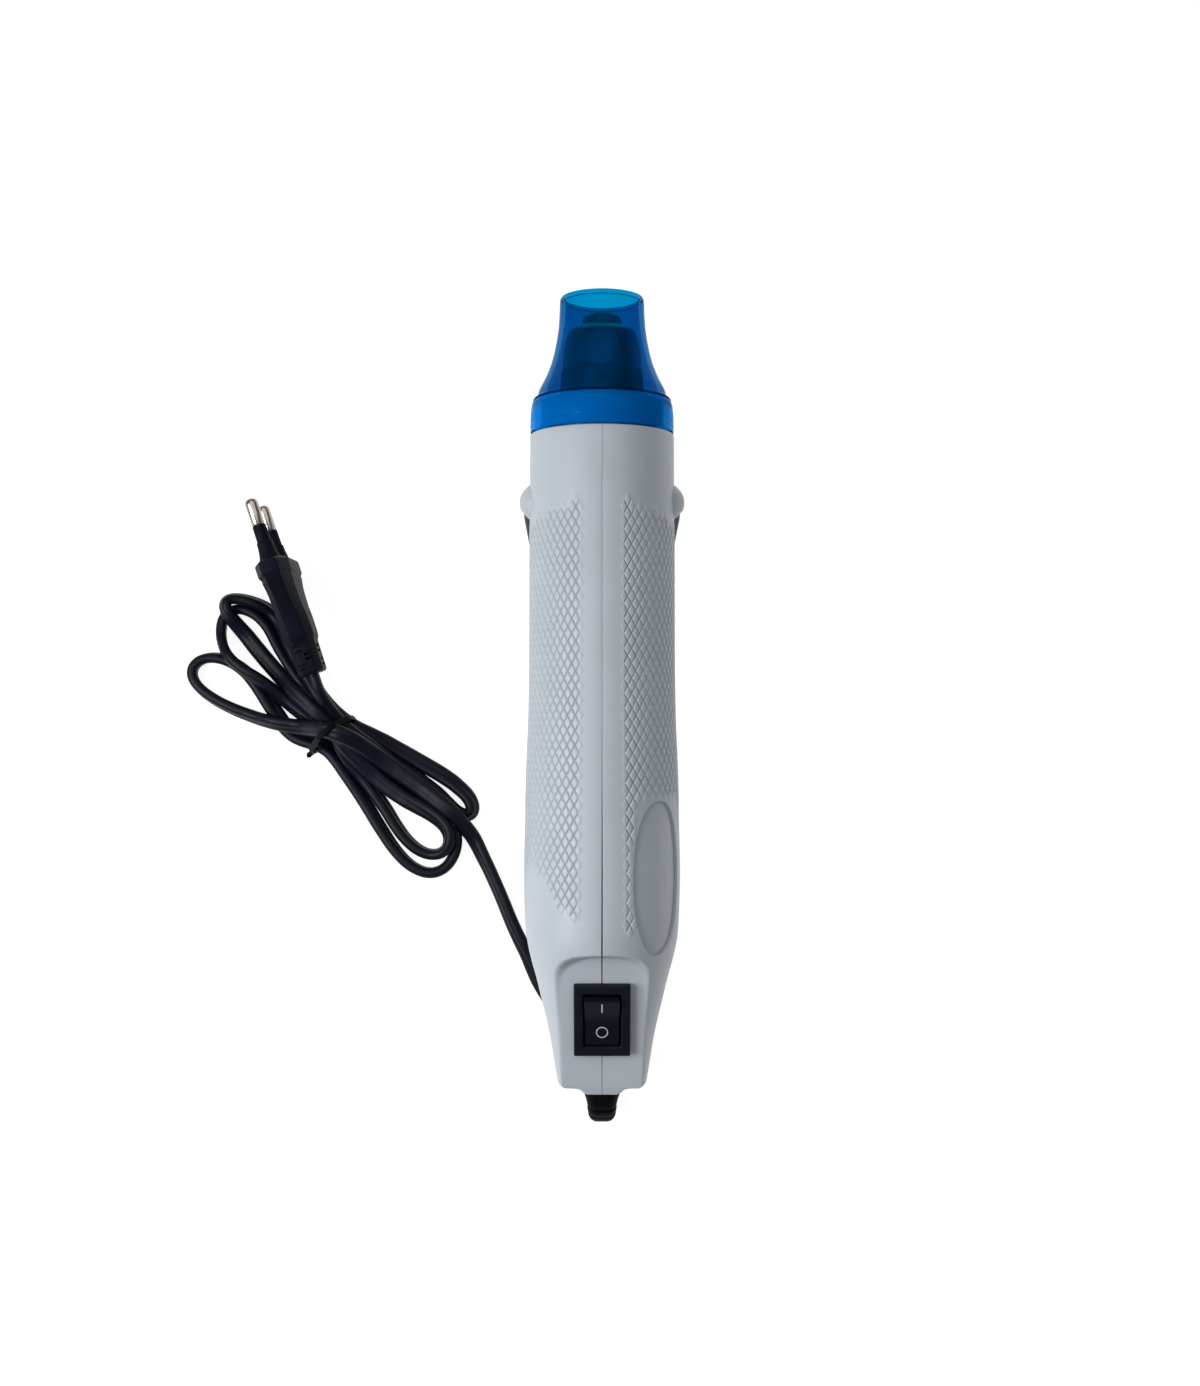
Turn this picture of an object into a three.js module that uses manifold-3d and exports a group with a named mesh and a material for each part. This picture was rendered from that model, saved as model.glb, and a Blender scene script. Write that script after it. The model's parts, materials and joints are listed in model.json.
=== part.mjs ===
// Mini hot air tool: a slim two-shell body with a translucent nozzle guard, a rocker switch on a sloping tail pad,
// a folding wire stand and a flat twin mains cord in a tied hank. Millimetres, +Z up.
// The tool is drawn in its own frame (x across, y along the axis towards the nozzle, z towards the switch face)
// and stands on its open stand and on a flat heel under the hips, so its axis rises towards the nozzle.
import * as THREE from 'three';
import { mergeVertices } from 'three/addons/utils/BufferGeometryUtils.js';
import Module from 'manifold-3d';

const wasm = await Module();
wasm.setup();

// ---- driving dimensions ----
const TILT = THREE.MathUtils.degToRad(5.5); // rise of the tool's axis
const AXIS_HEIGHT = 27.174; // height of the axis at the tool's own origin
const SHIFT_Y = 4.83; // puts the row origin under the middle of the tool
const SEGMENTS = 36;
const SEAM = 0.15; // half the gap between the shells
const PAD = { y: -88.7, z: 10.6, slope: THREE.MathUtils.degToRad(15) }; // switch pad centre and slope
const PIVOT = { y: 53.2, x: 21.2 }; // stand pivot in the side bosses
const WIRE_R = 1.0;
const STAND_LEAN = THREE.MathUtils.degToRad(20); // towards the tail
const ROCKER_TIP = THREE.MathUtils.degToRad(10.5);
const BOOT_R = 7.3; // bend of the cord at the tail
const SCREWS = [44, -36, -64];
const SCREW_Z = -12.5;

// Outer half-width of the body along its axis: [radius, y]
const BODY = [
  [0, 81], [17.3, 81], [17.3, 72], [20.1, 72], [20.24, 37], [20.3, 10], [20.55, -6.5], [21.1, -20], [21.55, -36],
  [21.8, -50], [21.6, -60], [21.2, -67], [20.7, -70.3], [19.9, -73.6], [18.1, -80.4], [16.9, -85.5], [15.7, -90.4],
  [14.3, -97.2], [13.2, -103.9], [12.4, -108.3], [11.3, -109.5], [6.0, -109.5], [5.5, -111.5], [0, -111.5],
];
const CAVITY = [
  [0, 79], [15.3, 79], [15.3, 71.5], [18.0, 69.2], [18.1, 10], [18.8, -20], [19.5, -50], [19.2, -62], [18.2, -71],
  [16.0, -80], [13.6, -90.4], [12.1, -97.2], [10.2, -107.3], [0, -107.3],
];
const SHIELD = [
  [20.0, 72.4], [19.9, 78.5], [19.5, 80.2], [19.0, 81.7], [18.0, 83.4], [17.6, 84.8], [15.6, 88.2], [14.3, 91.6],
  [13.4, 94.9], [12.7, 98.3], [12.0, 103.3], [11.8, 108.4], [11.5, 110.0], [11.2, 110.5], [10.4, 110.5], [10.25, 109.6],
  [10.6, 103.3], [11.4, 98.3], [12.1, 94.9], [13.0, 91.6], [14.2, 88.2], [15.5, 85.6], [16.3, 83.2], [17.65, 81.4],
  [17.65, 72.4],
];
const BOSS = [[0, 16.5], [5.3, 16.5], [5.3, 19.3], [4.95, 20.2], [4.3, 21.0], [3.4, 21.85], [2.5, 22.45], [1.4, 22.9], [0, 23.05]];
const NOZZLE = [
  [5.4, 106.1], [5.4, 102.8], [7.2, 101.3], [9.2, 99.2], [10.1, 96.5], [10.3, 90], [10.6, 87], [11.2, 85.2], [11.2, 78.6],
  [14.5, 78.6], [14.5, 77.0], [11.2, 77.0], [11.2, 60], [10.4, 60], [10.4, 84.5], [9.9, 86.5], [9.5, 90], [9.3, 96],
  [8.5, 98.4], [6.6, 100.4], [4.6, 101.9], [4.6, 106.1],
];

// ---- helpers ----
function plain(geometry) {
  const source = geometry.index ? geometry.toNonIndexed() : geometry;
  const bare = new THREE.BufferGeometry();
  bare.setAttribute('position', source.getAttribute('position').clone());
  const merged = mergeVertices(bare, 1e-4);
  const p = merged.getAttribute('position').array;
  const faces = [];
  let volume = 0;
  for (let i = 0; i < merged.index.count; i += 3) {
    const [a, b, c] = [0, 1, 2].map((k) => merged.index.getX(i + k));
    if (a === b || b === c || a === c) continue;
    faces.push(a, b, c);
    const [A, B, C] = [a, b, c].map((k) => new THREE.Vector3(p[3 * k], p[3 * k + 1], p[3 * k + 2]));
    volume += A.dot(B.cross(C));
  }
  if (volume < 0) for (let i = 0; i < faces.length; i += 3) [faces[i], faces[i + 1]] = [faces[i + 1], faces[i]];
  merged.setIndex(faces);
  return merged;
}
function solid(geometry) {
  const g = plain(geometry);
  return new wasm.Manifold(
    new wasm.Mesh({
      numProp: 3,
      vertProperties: new Float32Array(g.getAttribute('position').array),
      triVerts: new Uint32Array(g.index.array),
    }),
  );
}
function shape(manifold) {
  const mesh = manifold.getMesh();
  const g = new THREE.BufferGeometry();
  g.setAttribute('position', new THREE.BufferAttribute(new Float32Array(mesh.vertProperties), 3));
  g.setIndex(new THREE.BufferAttribute(new Uint32Array(mesh.triVerts), 1));
  return g;
}
const lathe = (profile, segments = SEGMENTS, close = false) => {
  const points = profile.map(([r, y]) => new THREE.Vector2(r, y));
  if (close) points.push(points[0].clone());
  return new THREE.LatheGeometry(points, segments);
};
const ring = (rIn, rOut, y0, y1, segments = 20) => lathe([[rIn, y0], [rOut, y0], [rOut, y1], [rIn, y1]], segments, true);
const rod = (r, y0, y1, segments = 14) => lathe([[0, y0], [r, y0], [r, y1], [0, y1]], segments);
const box = (x, y, z, cx = 0, cy = 0, cz = 0) => new THREE.BoxGeometry(x, y, z).translate(cx, cy, cz);
const outline = (points) => new THREE.Shape(points.map(([x, y]) => new THREE.Vector2(x, y)));
const extrude = (points, depth) => new THREE.ExtrudeGeometry(outline(points), { depth, bevelEnabled: false });
const stadium = (width, thick, corner = 4) => {
  const points = [];
  const r = thick / 2, half = width / 2 - r;
  for (let k = 0; k < corner; k++) points.push([half + r * Math.cos(-Math.PI / 2 + (Math.PI * k) / (corner - 1)), r * Math.sin(-Math.PI / 2 + (Math.PI * k) / (corner - 1))]);
  for (let k = 0; k < corner; k++) points.push([-half + r * Math.cos(Math.PI / 2 + (Math.PI * k) / (corner - 1)), r * Math.sin(Math.PI / 2 + (Math.PI * k) / (corner - 1))]);
  return points;
};
const polygon = (r, sides) => Array.from({ length: sides }, (_, k) => [r * Math.cos((2 * Math.PI * (k + 0.5)) / sides), r * Math.sin((2 * Math.PI * (k + 0.5)) / sides)]);
const sweep = (section, points, steps) =>
  new THREE.ExtrudeGeometry(outline(section), {
    steps,
    bevelEnabled: false,
    extrudePath: new THREE.CatmullRomCurve3(points.map((p) => new THREE.Vector3(...p)), false, 'centripetal'),
  });
// Straight runs joined by arcs of radius r
function bends(corners, r, arcSteps = 5) {
  const v = corners.map((p) => new THREE.Vector3(...p));
  const out = [v[0].clone()];
  for (let i = 1; i < v.length - 1; i++) {
    const a = v[i - 1].clone().sub(v[i]).normalize();
    const b = v[i + 1].clone().sub(v[i]).normalize();
    const half = a.angleTo(b) / 2;
    const cut = r / Math.tan(half);
    const centre = v[i].clone().add(a.clone().add(b).normalize().multiplyScalar(r / Math.sin(half)));
    const from = v[i].clone().addScaledVector(a, cut).sub(centre);
    const to = v[i].clone().addScaledVector(b, cut).sub(centre);
    const turn = from.angleTo(to);
    for (let k = 0; k <= arcSteps; k++) {
      const t = k / arcSteps;
      out.push(centre.clone().addScaledVector(from, Math.sin((1 - t) * turn) / Math.sin(turn)).addScaledVector(to, Math.sin(t * turn) / Math.sin(turn)));
    }
  }
  out.push(v[v.length - 1].clone());
  return out;
}
class Run extends THREE.Curve {
  constructor(points) {
    super();
    this.points = points;
    this.at = [0];
    for (let i = 1; i < points.length; i++) this.at.push(this.at[i - 1] + points[i].distanceTo(points[i - 1]));
  }
  getPoint(t, target = new THREE.Vector3()) {
    const s = Math.min(Math.max(t, 0), 1) * this.at[this.at.length - 1];
    let i = 1;
    while (i < this.at.length - 1 && this.at[i] < s) i++;
    return target.copy(this.points[i - 1]).lerp(this.points[i], (s - this.at[i - 1]) / (this.at[i] - this.at[i - 1]));
  }
}
const sweepRun = (section, points, steps) => new THREE.ExtrudeGeometry(outline(section), { steps, bevelEnabled: false, extrudePath: new Run(points) });

const paint = (color, roughness, metalness = 0, opacity = 1) => new THREE.MeshStandardMaterial({ color, roughness, metalness, opacity, transparent: opacity < 1 });
const GREY = paint(0xb4bcc4, 0.62);
const BLUE = paint(0x0a63b4, 0.18, 0, 0.55);
const STEEL = paint(0x6c7076, 0.35, 0.9);
const DARK_STEEL = paint(0x3a3d42, 0.4, 0.8);
const BLACK = paint(0x15171c, 0.5);
const RUBBER = paint(0x14161a, 0.65);
const MICA = paint(0xcdbb96, 0.7);
const NICHROME = paint(0x8d8478, 0.4, 0.9);
const BRASS = paint(0xc2a052, 0.35, 0.9);
const FAN = paint(0x23272c, 0.5);
const BOARD = paint(0x2f6b3c, 0.6);
const RED = paint(0x9a2220, 0.55);
const BROWN = paint(0x6b4226, 0.55);
const CERAMIC = paint(0xe6e2d8, 0.7);

const root = new THREE.Group();
const tool = new THREE.Group();
tool.rotation.x = TILT;
tool.position.set(0, SHIFT_Y, AXIS_HEIGHT);
root.add(tool);
const table = new THREE.Group(); // the cord lies here, in the row's own axes
table.position.set(0, SHIFT_Y, 0);
root.add(table);
const add = (group, name, geometry, material) => {
  const mesh = new THREE.Mesh(plain(geometry), material);
  mesh.name = name;
  group.add(mesh);
  return mesh;
};
const toPad = (geometry) => geometry.rotateX(PAD.slope).translate(0, PAD.y, PAD.z);

// ---- body shells ----
const padArch = (grow) => {
  const w = 12.7 + grow, top = 20.5 + grow, points = [[-w, -40], [w, -40]];
  for (let k = 0; k <= 6; k++) {
    const a = (Math.PI / 2) * (k / 6);
    points.push([w - 3.4 + 3.4 * Math.cos(a), top - 8 + 8 * Math.sin(a)]);
  }
  for (let k = 6; k >= 0; k--) {
    const a = (Math.PI / 2) * (k / 6);
    points.push([-w + 3.4 - 3.4 * Math.cos(a), top - 8 + 8 * Math.sin(a)]);
  }
  return points;
};
let outer = solid(lathe(BODY)).subtract(solid(toPad(extrude(padArch(0), 30))));
const cavity = solid(lathe(CAVITY)).subtract(solid(toPad(extrude(padArch(2.2), 32).translate(0, 0, -2.2))));
for (const side of [-1, 1]) {
  outer = outer.add(solid(lathe(BOSS, 28).rotateZ((-side * Math.PI) / 2).translate(0, PIVOT.y, 0))); // domed boss over the stand's pivot
}
let shell = outer.subtract(cavity);
shell = shell.add(solid(ring(12.6, 15.8, 74.6, 76.6, SEGMENTS))); // rib behind the nozzle flange
const body = solid(lathe(BODY));
for (const y of SCREWS) shell = shell.add(solid(rod(4.2, -24, 24, 16).rotateZ(Math.PI / 2).translate(0, y, SCREW_Z)).intersect(body));
shell = shell.subtract(solid(rod(11.7, 77.8, 84, SEGMENTS))); // nozzle passes through the front plate
shell = shell.subtract(solid(extrude(stadium(9.0, 6.4, 6), 8).rotateX(Math.PI / 2).translate(0, -105, 0))); // cord boot
shell = shell.subtract(solid(toPad(box(13.4, 19.6, 14, 0, 0, -1)))); // switch cut-out
for (const side of [-1, 1]) {
  shell = shell.subtract(solid(rod(1.35, -8, 8, 14).rotateZ(Math.PI / 2).translate(side * 20, PIVOT.y, 0))); // pivot hole
  shell = shell.subtract(solid(box(2.5, 7.2, 9.0, side * PIVOT.x, 51.2, -3.1))); // slot for the arm
  shell = shell.subtract(solid(box(4.1, 7.2, 6.6, side * 22, 51.2, -4.4))); // open below, where the arm swings out
  for (let k = 0; k < 6; k++) shell = shell.subtract(solid(box(9, 1.8, 9).rotateY(side * Math.PI / 4).translate(side * 14.9, -24 + 3.6 * k, -14.9))); // air inlet
}
for (const y of SCREWS) {
  const along = (r, x0, x1) => solid(rod(r, x0, x1, 16).rotateZ(-Math.PI / 2).translate(0, y, SCREW_Z));
  shell = shell.subtract(along(3.0, 6.6, 26)).subtract(along(1.75, -0.5, 7)).subtract(along(1.6, -9.5, 0));
}
// flat heel: the surface the tool stands on
const heel = box(60, 120, 20, 0, -60, -10).translate(0, 0, -AXIS_HEIGHT).rotateX(-TILT);
shell = shell.subtract(solid(heel));
add(tool, 'left_shell', shape(shell.intersect(solid(box(60, 260, 80, -30 - SEAM, 0, 0)))), GREY);
add(tool, 'right_shell', shape(shell.intersect(solid(box(60, 260, 80, 30 + SEAM, 0, 0)))), GREY);
SCREWS.forEach((y, i) => {
  const screw = lathe([[0, -8.6], [0.5, -8.6], [1.25, -7.2], [1.25, 6.9], [2.6, 6.9], [2.6, 8.1], [1.6, 8.9], [0, 8.9]], 14);
  add(tool, `shell_screw_${i + 1}`, screw.rotateZ(-Math.PI / 2).translate(0, y, SCREW_Z), STEEL);
});

// ---- nozzle and heater ----
add(tool, 'nozzle_shield', lathe(SHIELD, 30, true), BLUE);
add(tool, 'hot_air_nozzle', lathe(NOZZLE, 22, true), DARK_STEEL);
add(tool, 'mica_sleeve', ring(9.35, 9.95, 60.5, 83.6, 20), MICA);
add(tool, 'heater_former', shape(solid(box(14.6, 31, 0.8, 0, 76.7, 0)).add(solid(box(0.8, 31, 14.6, 0, 76.7, 0)))), MICA);
const COIL_TURNS = 8;
class Helix extends THREE.Curve {
  getPoint(t, target = new THREE.Vector3()) {
    const a = 0.4 + 2 * Math.PI * COIL_TURNS * t;
    return target.set(8.2 * Math.cos(a), 63 + 25 * t, 8.2 * Math.sin(a));
  }
}
add(tool, 'heating_coil', new THREE.ExtrudeGeometry(outline(polygon(0.45, 5)), { steps: 10 * COIL_TURNS, bevelEnabled: false, extrudePath: new Helix() }), NICHROME);
add(tool, 'thermal_fuse', rod(1.7, 50, 58, 12).translate(5, 0, -5), CERAMIC);

// ---- blower ----
let fan = solid(lathe([[1.35, 19.5], [4.6, 19.5], [4.6, 29], [3.6, 30], [1.35, 30]], 20, true));
for (let k = 0; k < 7; k++) {
  const blade = box(11.4, 1.2, 8.5, 9.5, 0, 0).rotateX(THREE.MathUtils.degToRad(52)).translate(0, 24.8, 0).rotateY((2 * Math.PI * k) / 7);
  fan = fan.add(solid(blade));
}
fan = fan.subtract(solid(rod(1.35, 10, 40, 20)));
add(tool, 'fan_impeller', shape(fan), FAN);
add(tool, 'motor_shaft', rod(1.0, -16.5, 31.5, 12), STEEL);
add(tool, 'motor_armature', lathe([[1.35, -11.5], [2.8, -11.5], [2.8, -8], [8.4, -8], [8.4, 9], [1.35, 9]], 20, true), BROWN);
add(tool, 'motor_can', lathe([[12, -12], [12, 13.4], [11.4, 14], [2.65, 14], [2.65, 12.8], [11, 12.8], [11, -12]], 24, true), STEEL);
add(tool, 'motor_magnet', ring(8.9, 10.65, -9, 10, 24), FAN);
add(tool, 'front_bush', ring(1.3, 2.3, 11.6, 16.6, 14), BRASS);
add(tool, 'rear_bush', ring(1.3, 2.3, -15.9, -12.0, 14), BRASS);
add(tool, 'motor_end_cap', ring(2.65, 11.9, -15.4, -12.35, 24), BLACK);
for (const [i, side] of [[1, -1], [2, 1]]) add(tool, `motor_terminal_${i}`, box(0.7, 4.8, 2.4, side * 7, -18.15, 0), BRASS);
const holder = new THREE.Shape();
const lobes = [40, 140, 270];
for (let k = 0; k < 72; k++) {
  const a = k * 5;
  const inLobe = lobes.some((c) => Math.abs(((a - c + 540) % 360) - 180) <= 14);
  const r = inLobe ? 17.6 : 13.9;
  holder[k ? 'lineTo' : 'moveTo'](r * Math.cos(THREE.MathUtils.degToRad(a)), r * Math.sin(THREE.MathUtils.degToRad(a)));
}
const hole = new THREE.Path();
polygon(12.35, 24).forEach(([x, y], k) => hole[k ? 'lineTo' : 'moveTo'](x, y));
holder.holes.push(hole);
// drawn in x and z, thickness along the axis
add(tool, 'motor_holder', new THREE.ExtrudeGeometry(holder, { depth: 9, bevelEnabled: false }).rotateX(Math.PI / 2).translate(0, 5, 0), BLACK);

// ---- electrics ----
add(tool, 'rectifier_board', rod(10.5, -22.6, -21, 20), BOARD);
for (let k = 0; k < 4; k++) add(tool, `diode_${k + 1}`, rod(1.3, -2.6, 2.6, 10).rotateZ(Math.PI / 2).translate(-3, -24.25, -6 + 4 * k), BLACK);
const wire = (name, points, steps, material) => add(tool, name, sweep(polygon(0.75, 5), points, steps), material);
wire('live_lead', [[1.4, -98.4, -1.6], [1.8, -97, -6.5], [1.6, -92, -10.6], [0.6, -87.6, -12], [0, -84.4, -12.2]], 12, BROWN);
wire('switched_lead', [[0, -76.6, -10.4], [2, -72, -8.4], [6, -66, -5.4], [9.5, -58, -2], [10, -44, 1.5], [7.5, -31, 4], [5.6, -23.1, 5]], 18, BROWN);
wire('neutral_lead', [[-1.4, -98.4, -1.6], [-3.6, -96.2, -6.4], [-6.4, -88, -10.3], [-7.6, -77, -9.6], [-9, -66, -4.2], [-9, -50, -2], [-3, -36, -3], [5.6, -23.1, -5]], 20, RED);
wire('heater_lead_1', [[0, -20.4, 8.8], [0, -18.6, 13.2], [0, -11, 16.4], [0, 4, 16.6], [0, 22, 16.6], [0, 36, 16.2], [0.8, 46, 12], [2.6, 55, 6.6], [2.6, 60.6, 5]], 22, RED);
wire('heater_lead_2', [[-8.8, -20.4, 0], [-13.2, -18.6, 0], [-16.4, -11, 0], [-16.6, 4, 0], [-16.6, 22, 0], [-16.0, 36, 0], [-11.5, 45, 0.8], [-6.6, 55, 2.6], [-5, 60.6, 2.6]], 22, RED);

// ---- rocker switch ----
let housing = solid(box(15, 21, 2, 0, 0, 1.3)).add(solid(box(12.8, 19, 13.8, 0, 0, -6.6)));
housing = housing.subtract(solid(box(10.3, 15.6, 13, 0, 0, -4)));
add(tool, 'switch_housing', toPad(shape(housing)), BLACK);
const rocker = extrude([[-7.2, 2.9], [-7.2, 0.2], [-3.6, -4.4], [3.6, -4.4], [7.2, 0.2], [7.2, 2.9], [0, 1.6]], 9.6).translate(0, 0, -4.8);
rocker.rotateY(Math.PI / 2).rotateX(Math.PI / 2); // profile into the plane across the pivot
const rockerMesh = add(tool, 'switch_rocker', toPad(rocker.rotateX(ROCKER_TIP)), BLACK);
for (const [i, t] of [[1, -1], [2, 6.5]]) add(tool, `switch_terminal_${i}`, toPad(box(4.8, 0.8, 7.4, 0, t, -17.5)), BRASS);

// ---- wire stand ----
const footZ = (WIRE_R - AXIS_HEIGHT - PIVOT.y * Math.sin(TILT)) / Math.cos(TILT - STAND_LEAN); // along the leg
const leg = -footZ;
const foot = { y: PIVOT.y - leg * Math.sin(STAND_LEAN), z: -leg * Math.cos(STAND_LEAN) };
const half = 20.3;
const standPath = bends(
  [[-16.6, PIVOT.y, 0], [-PIVOT.x, PIVOT.y, 0], [-PIVOT.x, PIVOT.y - 10 * Math.sin(STAND_LEAN), -10 * Math.cos(STAND_LEAN)], [-half, foot.y, foot.z],
    [half, foot.y, foot.z], [PIVOT.x, PIVOT.y - 10 * Math.sin(STAND_LEAN), -10 * Math.cos(STAND_LEAN)], [PIVOT.x, PIVOT.y, 0], [16.6, PIVOT.y, 0]],
  2.0,
);
add(tool, 'stand_wire', sweepRun(polygon(WIRE_R, 8), standPath, 52), BLACK);

// ---- cord boot ----
const bootPath = [];
for (let k = 0; k <= 5; k++) bootPath.push(new THREE.Vector3(0, -99.2 - 12.8 * (k / 5), 0));
for (let k = 1; k <= 6; k++) {
  const a = THREE.MathUtils.degToRad(75 * (k / 6));
  bootPath.push(new THREE.Vector3(0, -112 - BOOT_R * Math.sin(a), -BOOT_R + BOOT_R * Math.cos(a)));
}
const boot = solid(sweepRun(stadium(8.2, 5.6, 5).map(([x, y]) => [-y, x]), bootPath, 22)).add(solid(extrude(stadium(13, 5.6, 5), 2.2).rotateX(Math.PI / 2).translate(0, -104.7, 0)));
add(tool, 'strain_relief', shape(boot), RUBBER);

// ---- cord, hank, tie and plug on the surface ----
const leadPath = [];
const bendY = -112 * Math.cos(TILT) + BOOT_R * Math.sin(TILT);
const bendZ = AXIS_HEIGHT - 112 * Math.sin(TILT) - BOOT_R * Math.cos(TILT);
for (let k = 0; k <= 6; k++) {
  const a = THREE.MathUtils.degToRad(87 + (88.5 * k) / 6);
  leadPath.push([0, bendY - BOOT_R * Math.sin(a), bendZ + BOOT_R * Math.cos(a)]);
}
leadPath.push([-1.4, -107.2, 1.8], [-4.6, -101.6, 1.7], [-10.0, -95.8, 1.7], [-15.2, -90, 1.7], [-19.5, -81.6, 1.7], [-23.9, -68.6, 1.7], [-29.9, -53.8, 1.7], [-34, -46.8, 1.9], [-37.2, -42.5, 2.4]);
add(table, 'cord_lead', sweep(stadium(5, 3, 4), leadPath, 36), RUBBER);
const HANK = [
  [-74.6, -6.6], [-69.3, -8.6], [-60.4, -12.0], [-51.0, -16.1], [-41.0, -21.7], [-35.7, -26.4], [-33.8, -30.5], [-35.6, -34.5],
  [-39.4, -37.2], [-41.1, -42.4], [-42.5, -47.9], [-45.7, -52.0], [-50.0, -53.4], [-55.3, -51.1], [-62.4, -44.4], [-68.9, -33.7],
  [-75.5, -22.6], [-79.5, -15.5], [-81.4, -11.9], [-88, -10.3], [-94.5, -8.8], [-110.8, -4.1], [-119.5, 1.5], [-123.5, 7.8],
  [-121.5, 12.8], [-115.1, 15.8], [-113.9, 26.2], [-111.9, 30.7], [-109.0, 32.2], [-104.2, 30.7], [-100.8, 22], [-97.2, 12],
  [-92.4, 3], [-86, -2.2], [-80, -5.0],
];
add(table, 'cord_hank', extrude(HANK, 8.4).translate(0, 0, 1.6), RUBBER);
const tie = outline([[-6.2, 0.2], [6.2, 0.2], [6.2, 11.4], [-6.2, 11.4]]);
const tieHole = new THREE.Path([[-5.3, 1.1], [-5.3, 10.5], [5.3, 10.5], [5.3, 1.1]].map(([x, y]) => new THREE.Vector2(x, y)));
tie.holes.push(tieHole);
const tieAngle = Math.atan2(5.3, 6.8);
add(table, 'cord_tie', new THREE.ExtrudeGeometry(tie, { depth: 1.4, bevelEnabled: false }).translate(0, 0, -0.7).rotateX(Math.PI / 2).rotateZ(tieAngle).translate(-78.0, -9.25, 0), RUBBER);

const plug = new THREE.Group();
plug.rotation.order = 'ZXY';
plug.rotation.set(THREE.MathUtils.degToRad(6.5), 0, THREE.MathUtils.degToRad(18.4));
plug.position.set(-94, 38.9, 18.0);
table.add(plug);
const PLUG_WIDE = [[0, 15.0], [-1, 16.3], [-3.8, 16.5], [-6.2, 14.9], [-10, 12.6], [-14, 10.9], [-19, 9.1], [-23.5, 8.0], [-25, 7.1], [-34, 6.5]];
const PLUG_THICK = [[0, 4.2], [-1, 4.85], [-3.8, 4.85], [-6.2, 4.4], [-10, 4.1], [-14, 4.1], [-18, 4.35], [-21.5, 4.4], [-24.8, 3.85], [-34, 3.7]];
const both = (list) => [...list.map(([y, h]) => [h, y]), ...list.slice().reverse().map(([y, h]) => [-h, y])];
const wide = solid(extrude(both(PLUG_WIDE), 16).translate(0, 0, -8).rotateY(Math.PI / 2));
const thick = solid(extrude(both(PLUG_THICK), 44).translate(0, 0, -22));
add(plug, 'plug_body', shape(wide.intersect(thick)), RUBBER);
for (const [i, z] of [[1, 9.3], [2, -9.3]]) {
  add(plug, `plug_pin_${i}`, lathe([[0, 0.35], [1.25, 0.35], [1.25, 10.2], [2, 10.4], [2, 18], [1.3, 19], [0, 19]], 14).translate(0, 0, z), STEEL);
  add(plug, `plug_sleeve_${i}`, ring(1.6, 1.92, 0.35, 10, 14).translate(0, 0, z), BLACK);
}
const tail = new THREE.Vector3(0, -34.35, 0).applyEuler(plug.rotation).add(plug.position);
const mid = new THREE.Vector3(0, -37.4, 0).applyEuler(plug.rotation).add(plug.position);
add(table, 'cord_plug_lead', sweep(stadium(5, 3, 4), [[tail.x, tail.y, tail.z], [mid.x, mid.y, mid.z], [-81.7, 1.6, 11.6], [-81.0, -0.6, 9.9]], 8), RUBBER);

export default root;
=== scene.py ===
"""Looks of the mini hot air tool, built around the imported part. Metres in the row frame; the builders below work in the tool's own millimetres."""

import json
import math

import bmesh
import bpy
import numpy as np
from mathutils import Matrix, Vector
from mathutils.geometry import tessellate_polygon


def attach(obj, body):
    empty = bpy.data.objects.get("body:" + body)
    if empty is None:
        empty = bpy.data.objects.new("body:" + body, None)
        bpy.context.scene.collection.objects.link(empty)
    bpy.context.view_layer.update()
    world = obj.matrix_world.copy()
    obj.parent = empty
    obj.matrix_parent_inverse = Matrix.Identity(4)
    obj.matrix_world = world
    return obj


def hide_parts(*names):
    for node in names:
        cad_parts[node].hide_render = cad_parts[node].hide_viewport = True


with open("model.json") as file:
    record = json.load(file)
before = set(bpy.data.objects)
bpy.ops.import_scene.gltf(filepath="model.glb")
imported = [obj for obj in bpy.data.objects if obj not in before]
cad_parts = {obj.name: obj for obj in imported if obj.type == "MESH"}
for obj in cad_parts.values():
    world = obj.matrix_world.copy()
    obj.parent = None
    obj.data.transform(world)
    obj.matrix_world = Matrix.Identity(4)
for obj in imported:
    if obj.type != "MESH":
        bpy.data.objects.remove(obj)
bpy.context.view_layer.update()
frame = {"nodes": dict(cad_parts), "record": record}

MM = 0.001
TILT = math.radians(5.5)
AXIS_Z = 27.174
SHIFT_Y = 4.83
TOOL = Matrix.Translation((0, SHIFT_Y * MM, AXIS_Z * MM)) @ Matrix.Rotation(TILT, 4, "X")
TABLE = Matrix.Translation((0, SHIFT_Y * MM, 0))
PAD_V, PAD_W, PAD_SLOPE = -88.7, 10.6, math.radians(15)
PAD = TOOL @ Matrix.Translation((0, PAD_V * MM, PAD_W * MM)) @ Matrix.Rotation(PAD_SLOPE, 4, "X")
scene = bpy.context.scene


# ---------------------------------------------------------------- helpers
def make(name, verts, faces, place=TOOL, smooth=40.0):
    """A mesh object from millimetre points in the frame that `place` gives. smooth is the angle over which an edge stays sharp."""
    mesh = bpy.data.meshes.new(name)
    pts = np.asarray(verts, float) * MM
    m = np.array(place)
    pts = pts @ m[:3, :3].T + m[:3, 3]
    mesh.from_pydata(pts.tolist(), [], [list(map(int, f)) for f in faces])
    mesh.validate()
    tidy(mesh, smooth)
    obj = bpy.data.objects.new(name, mesh)
    scene.collection.objects.link(obj)
    return obj


def tidy(mesh, angle=40.0):
    bm = bmesh.new()
    bm.from_mesh(mesh)
    bmesh.ops.remove_doubles(bm, verts=bm.verts, dist=2e-6)
    bmesh.ops.recalc_face_normals(bm, faces=bm.faces)
    limit = math.radians(angle)
    for f in bm.faces:
        f.smooth = True
    for e in bm.edges:
        if len(e.link_faces) == 2:
            e.smooth = e.calc_face_angle(0.0) < limit
    bm.to_mesh(mesh)
    bm.free()


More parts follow.
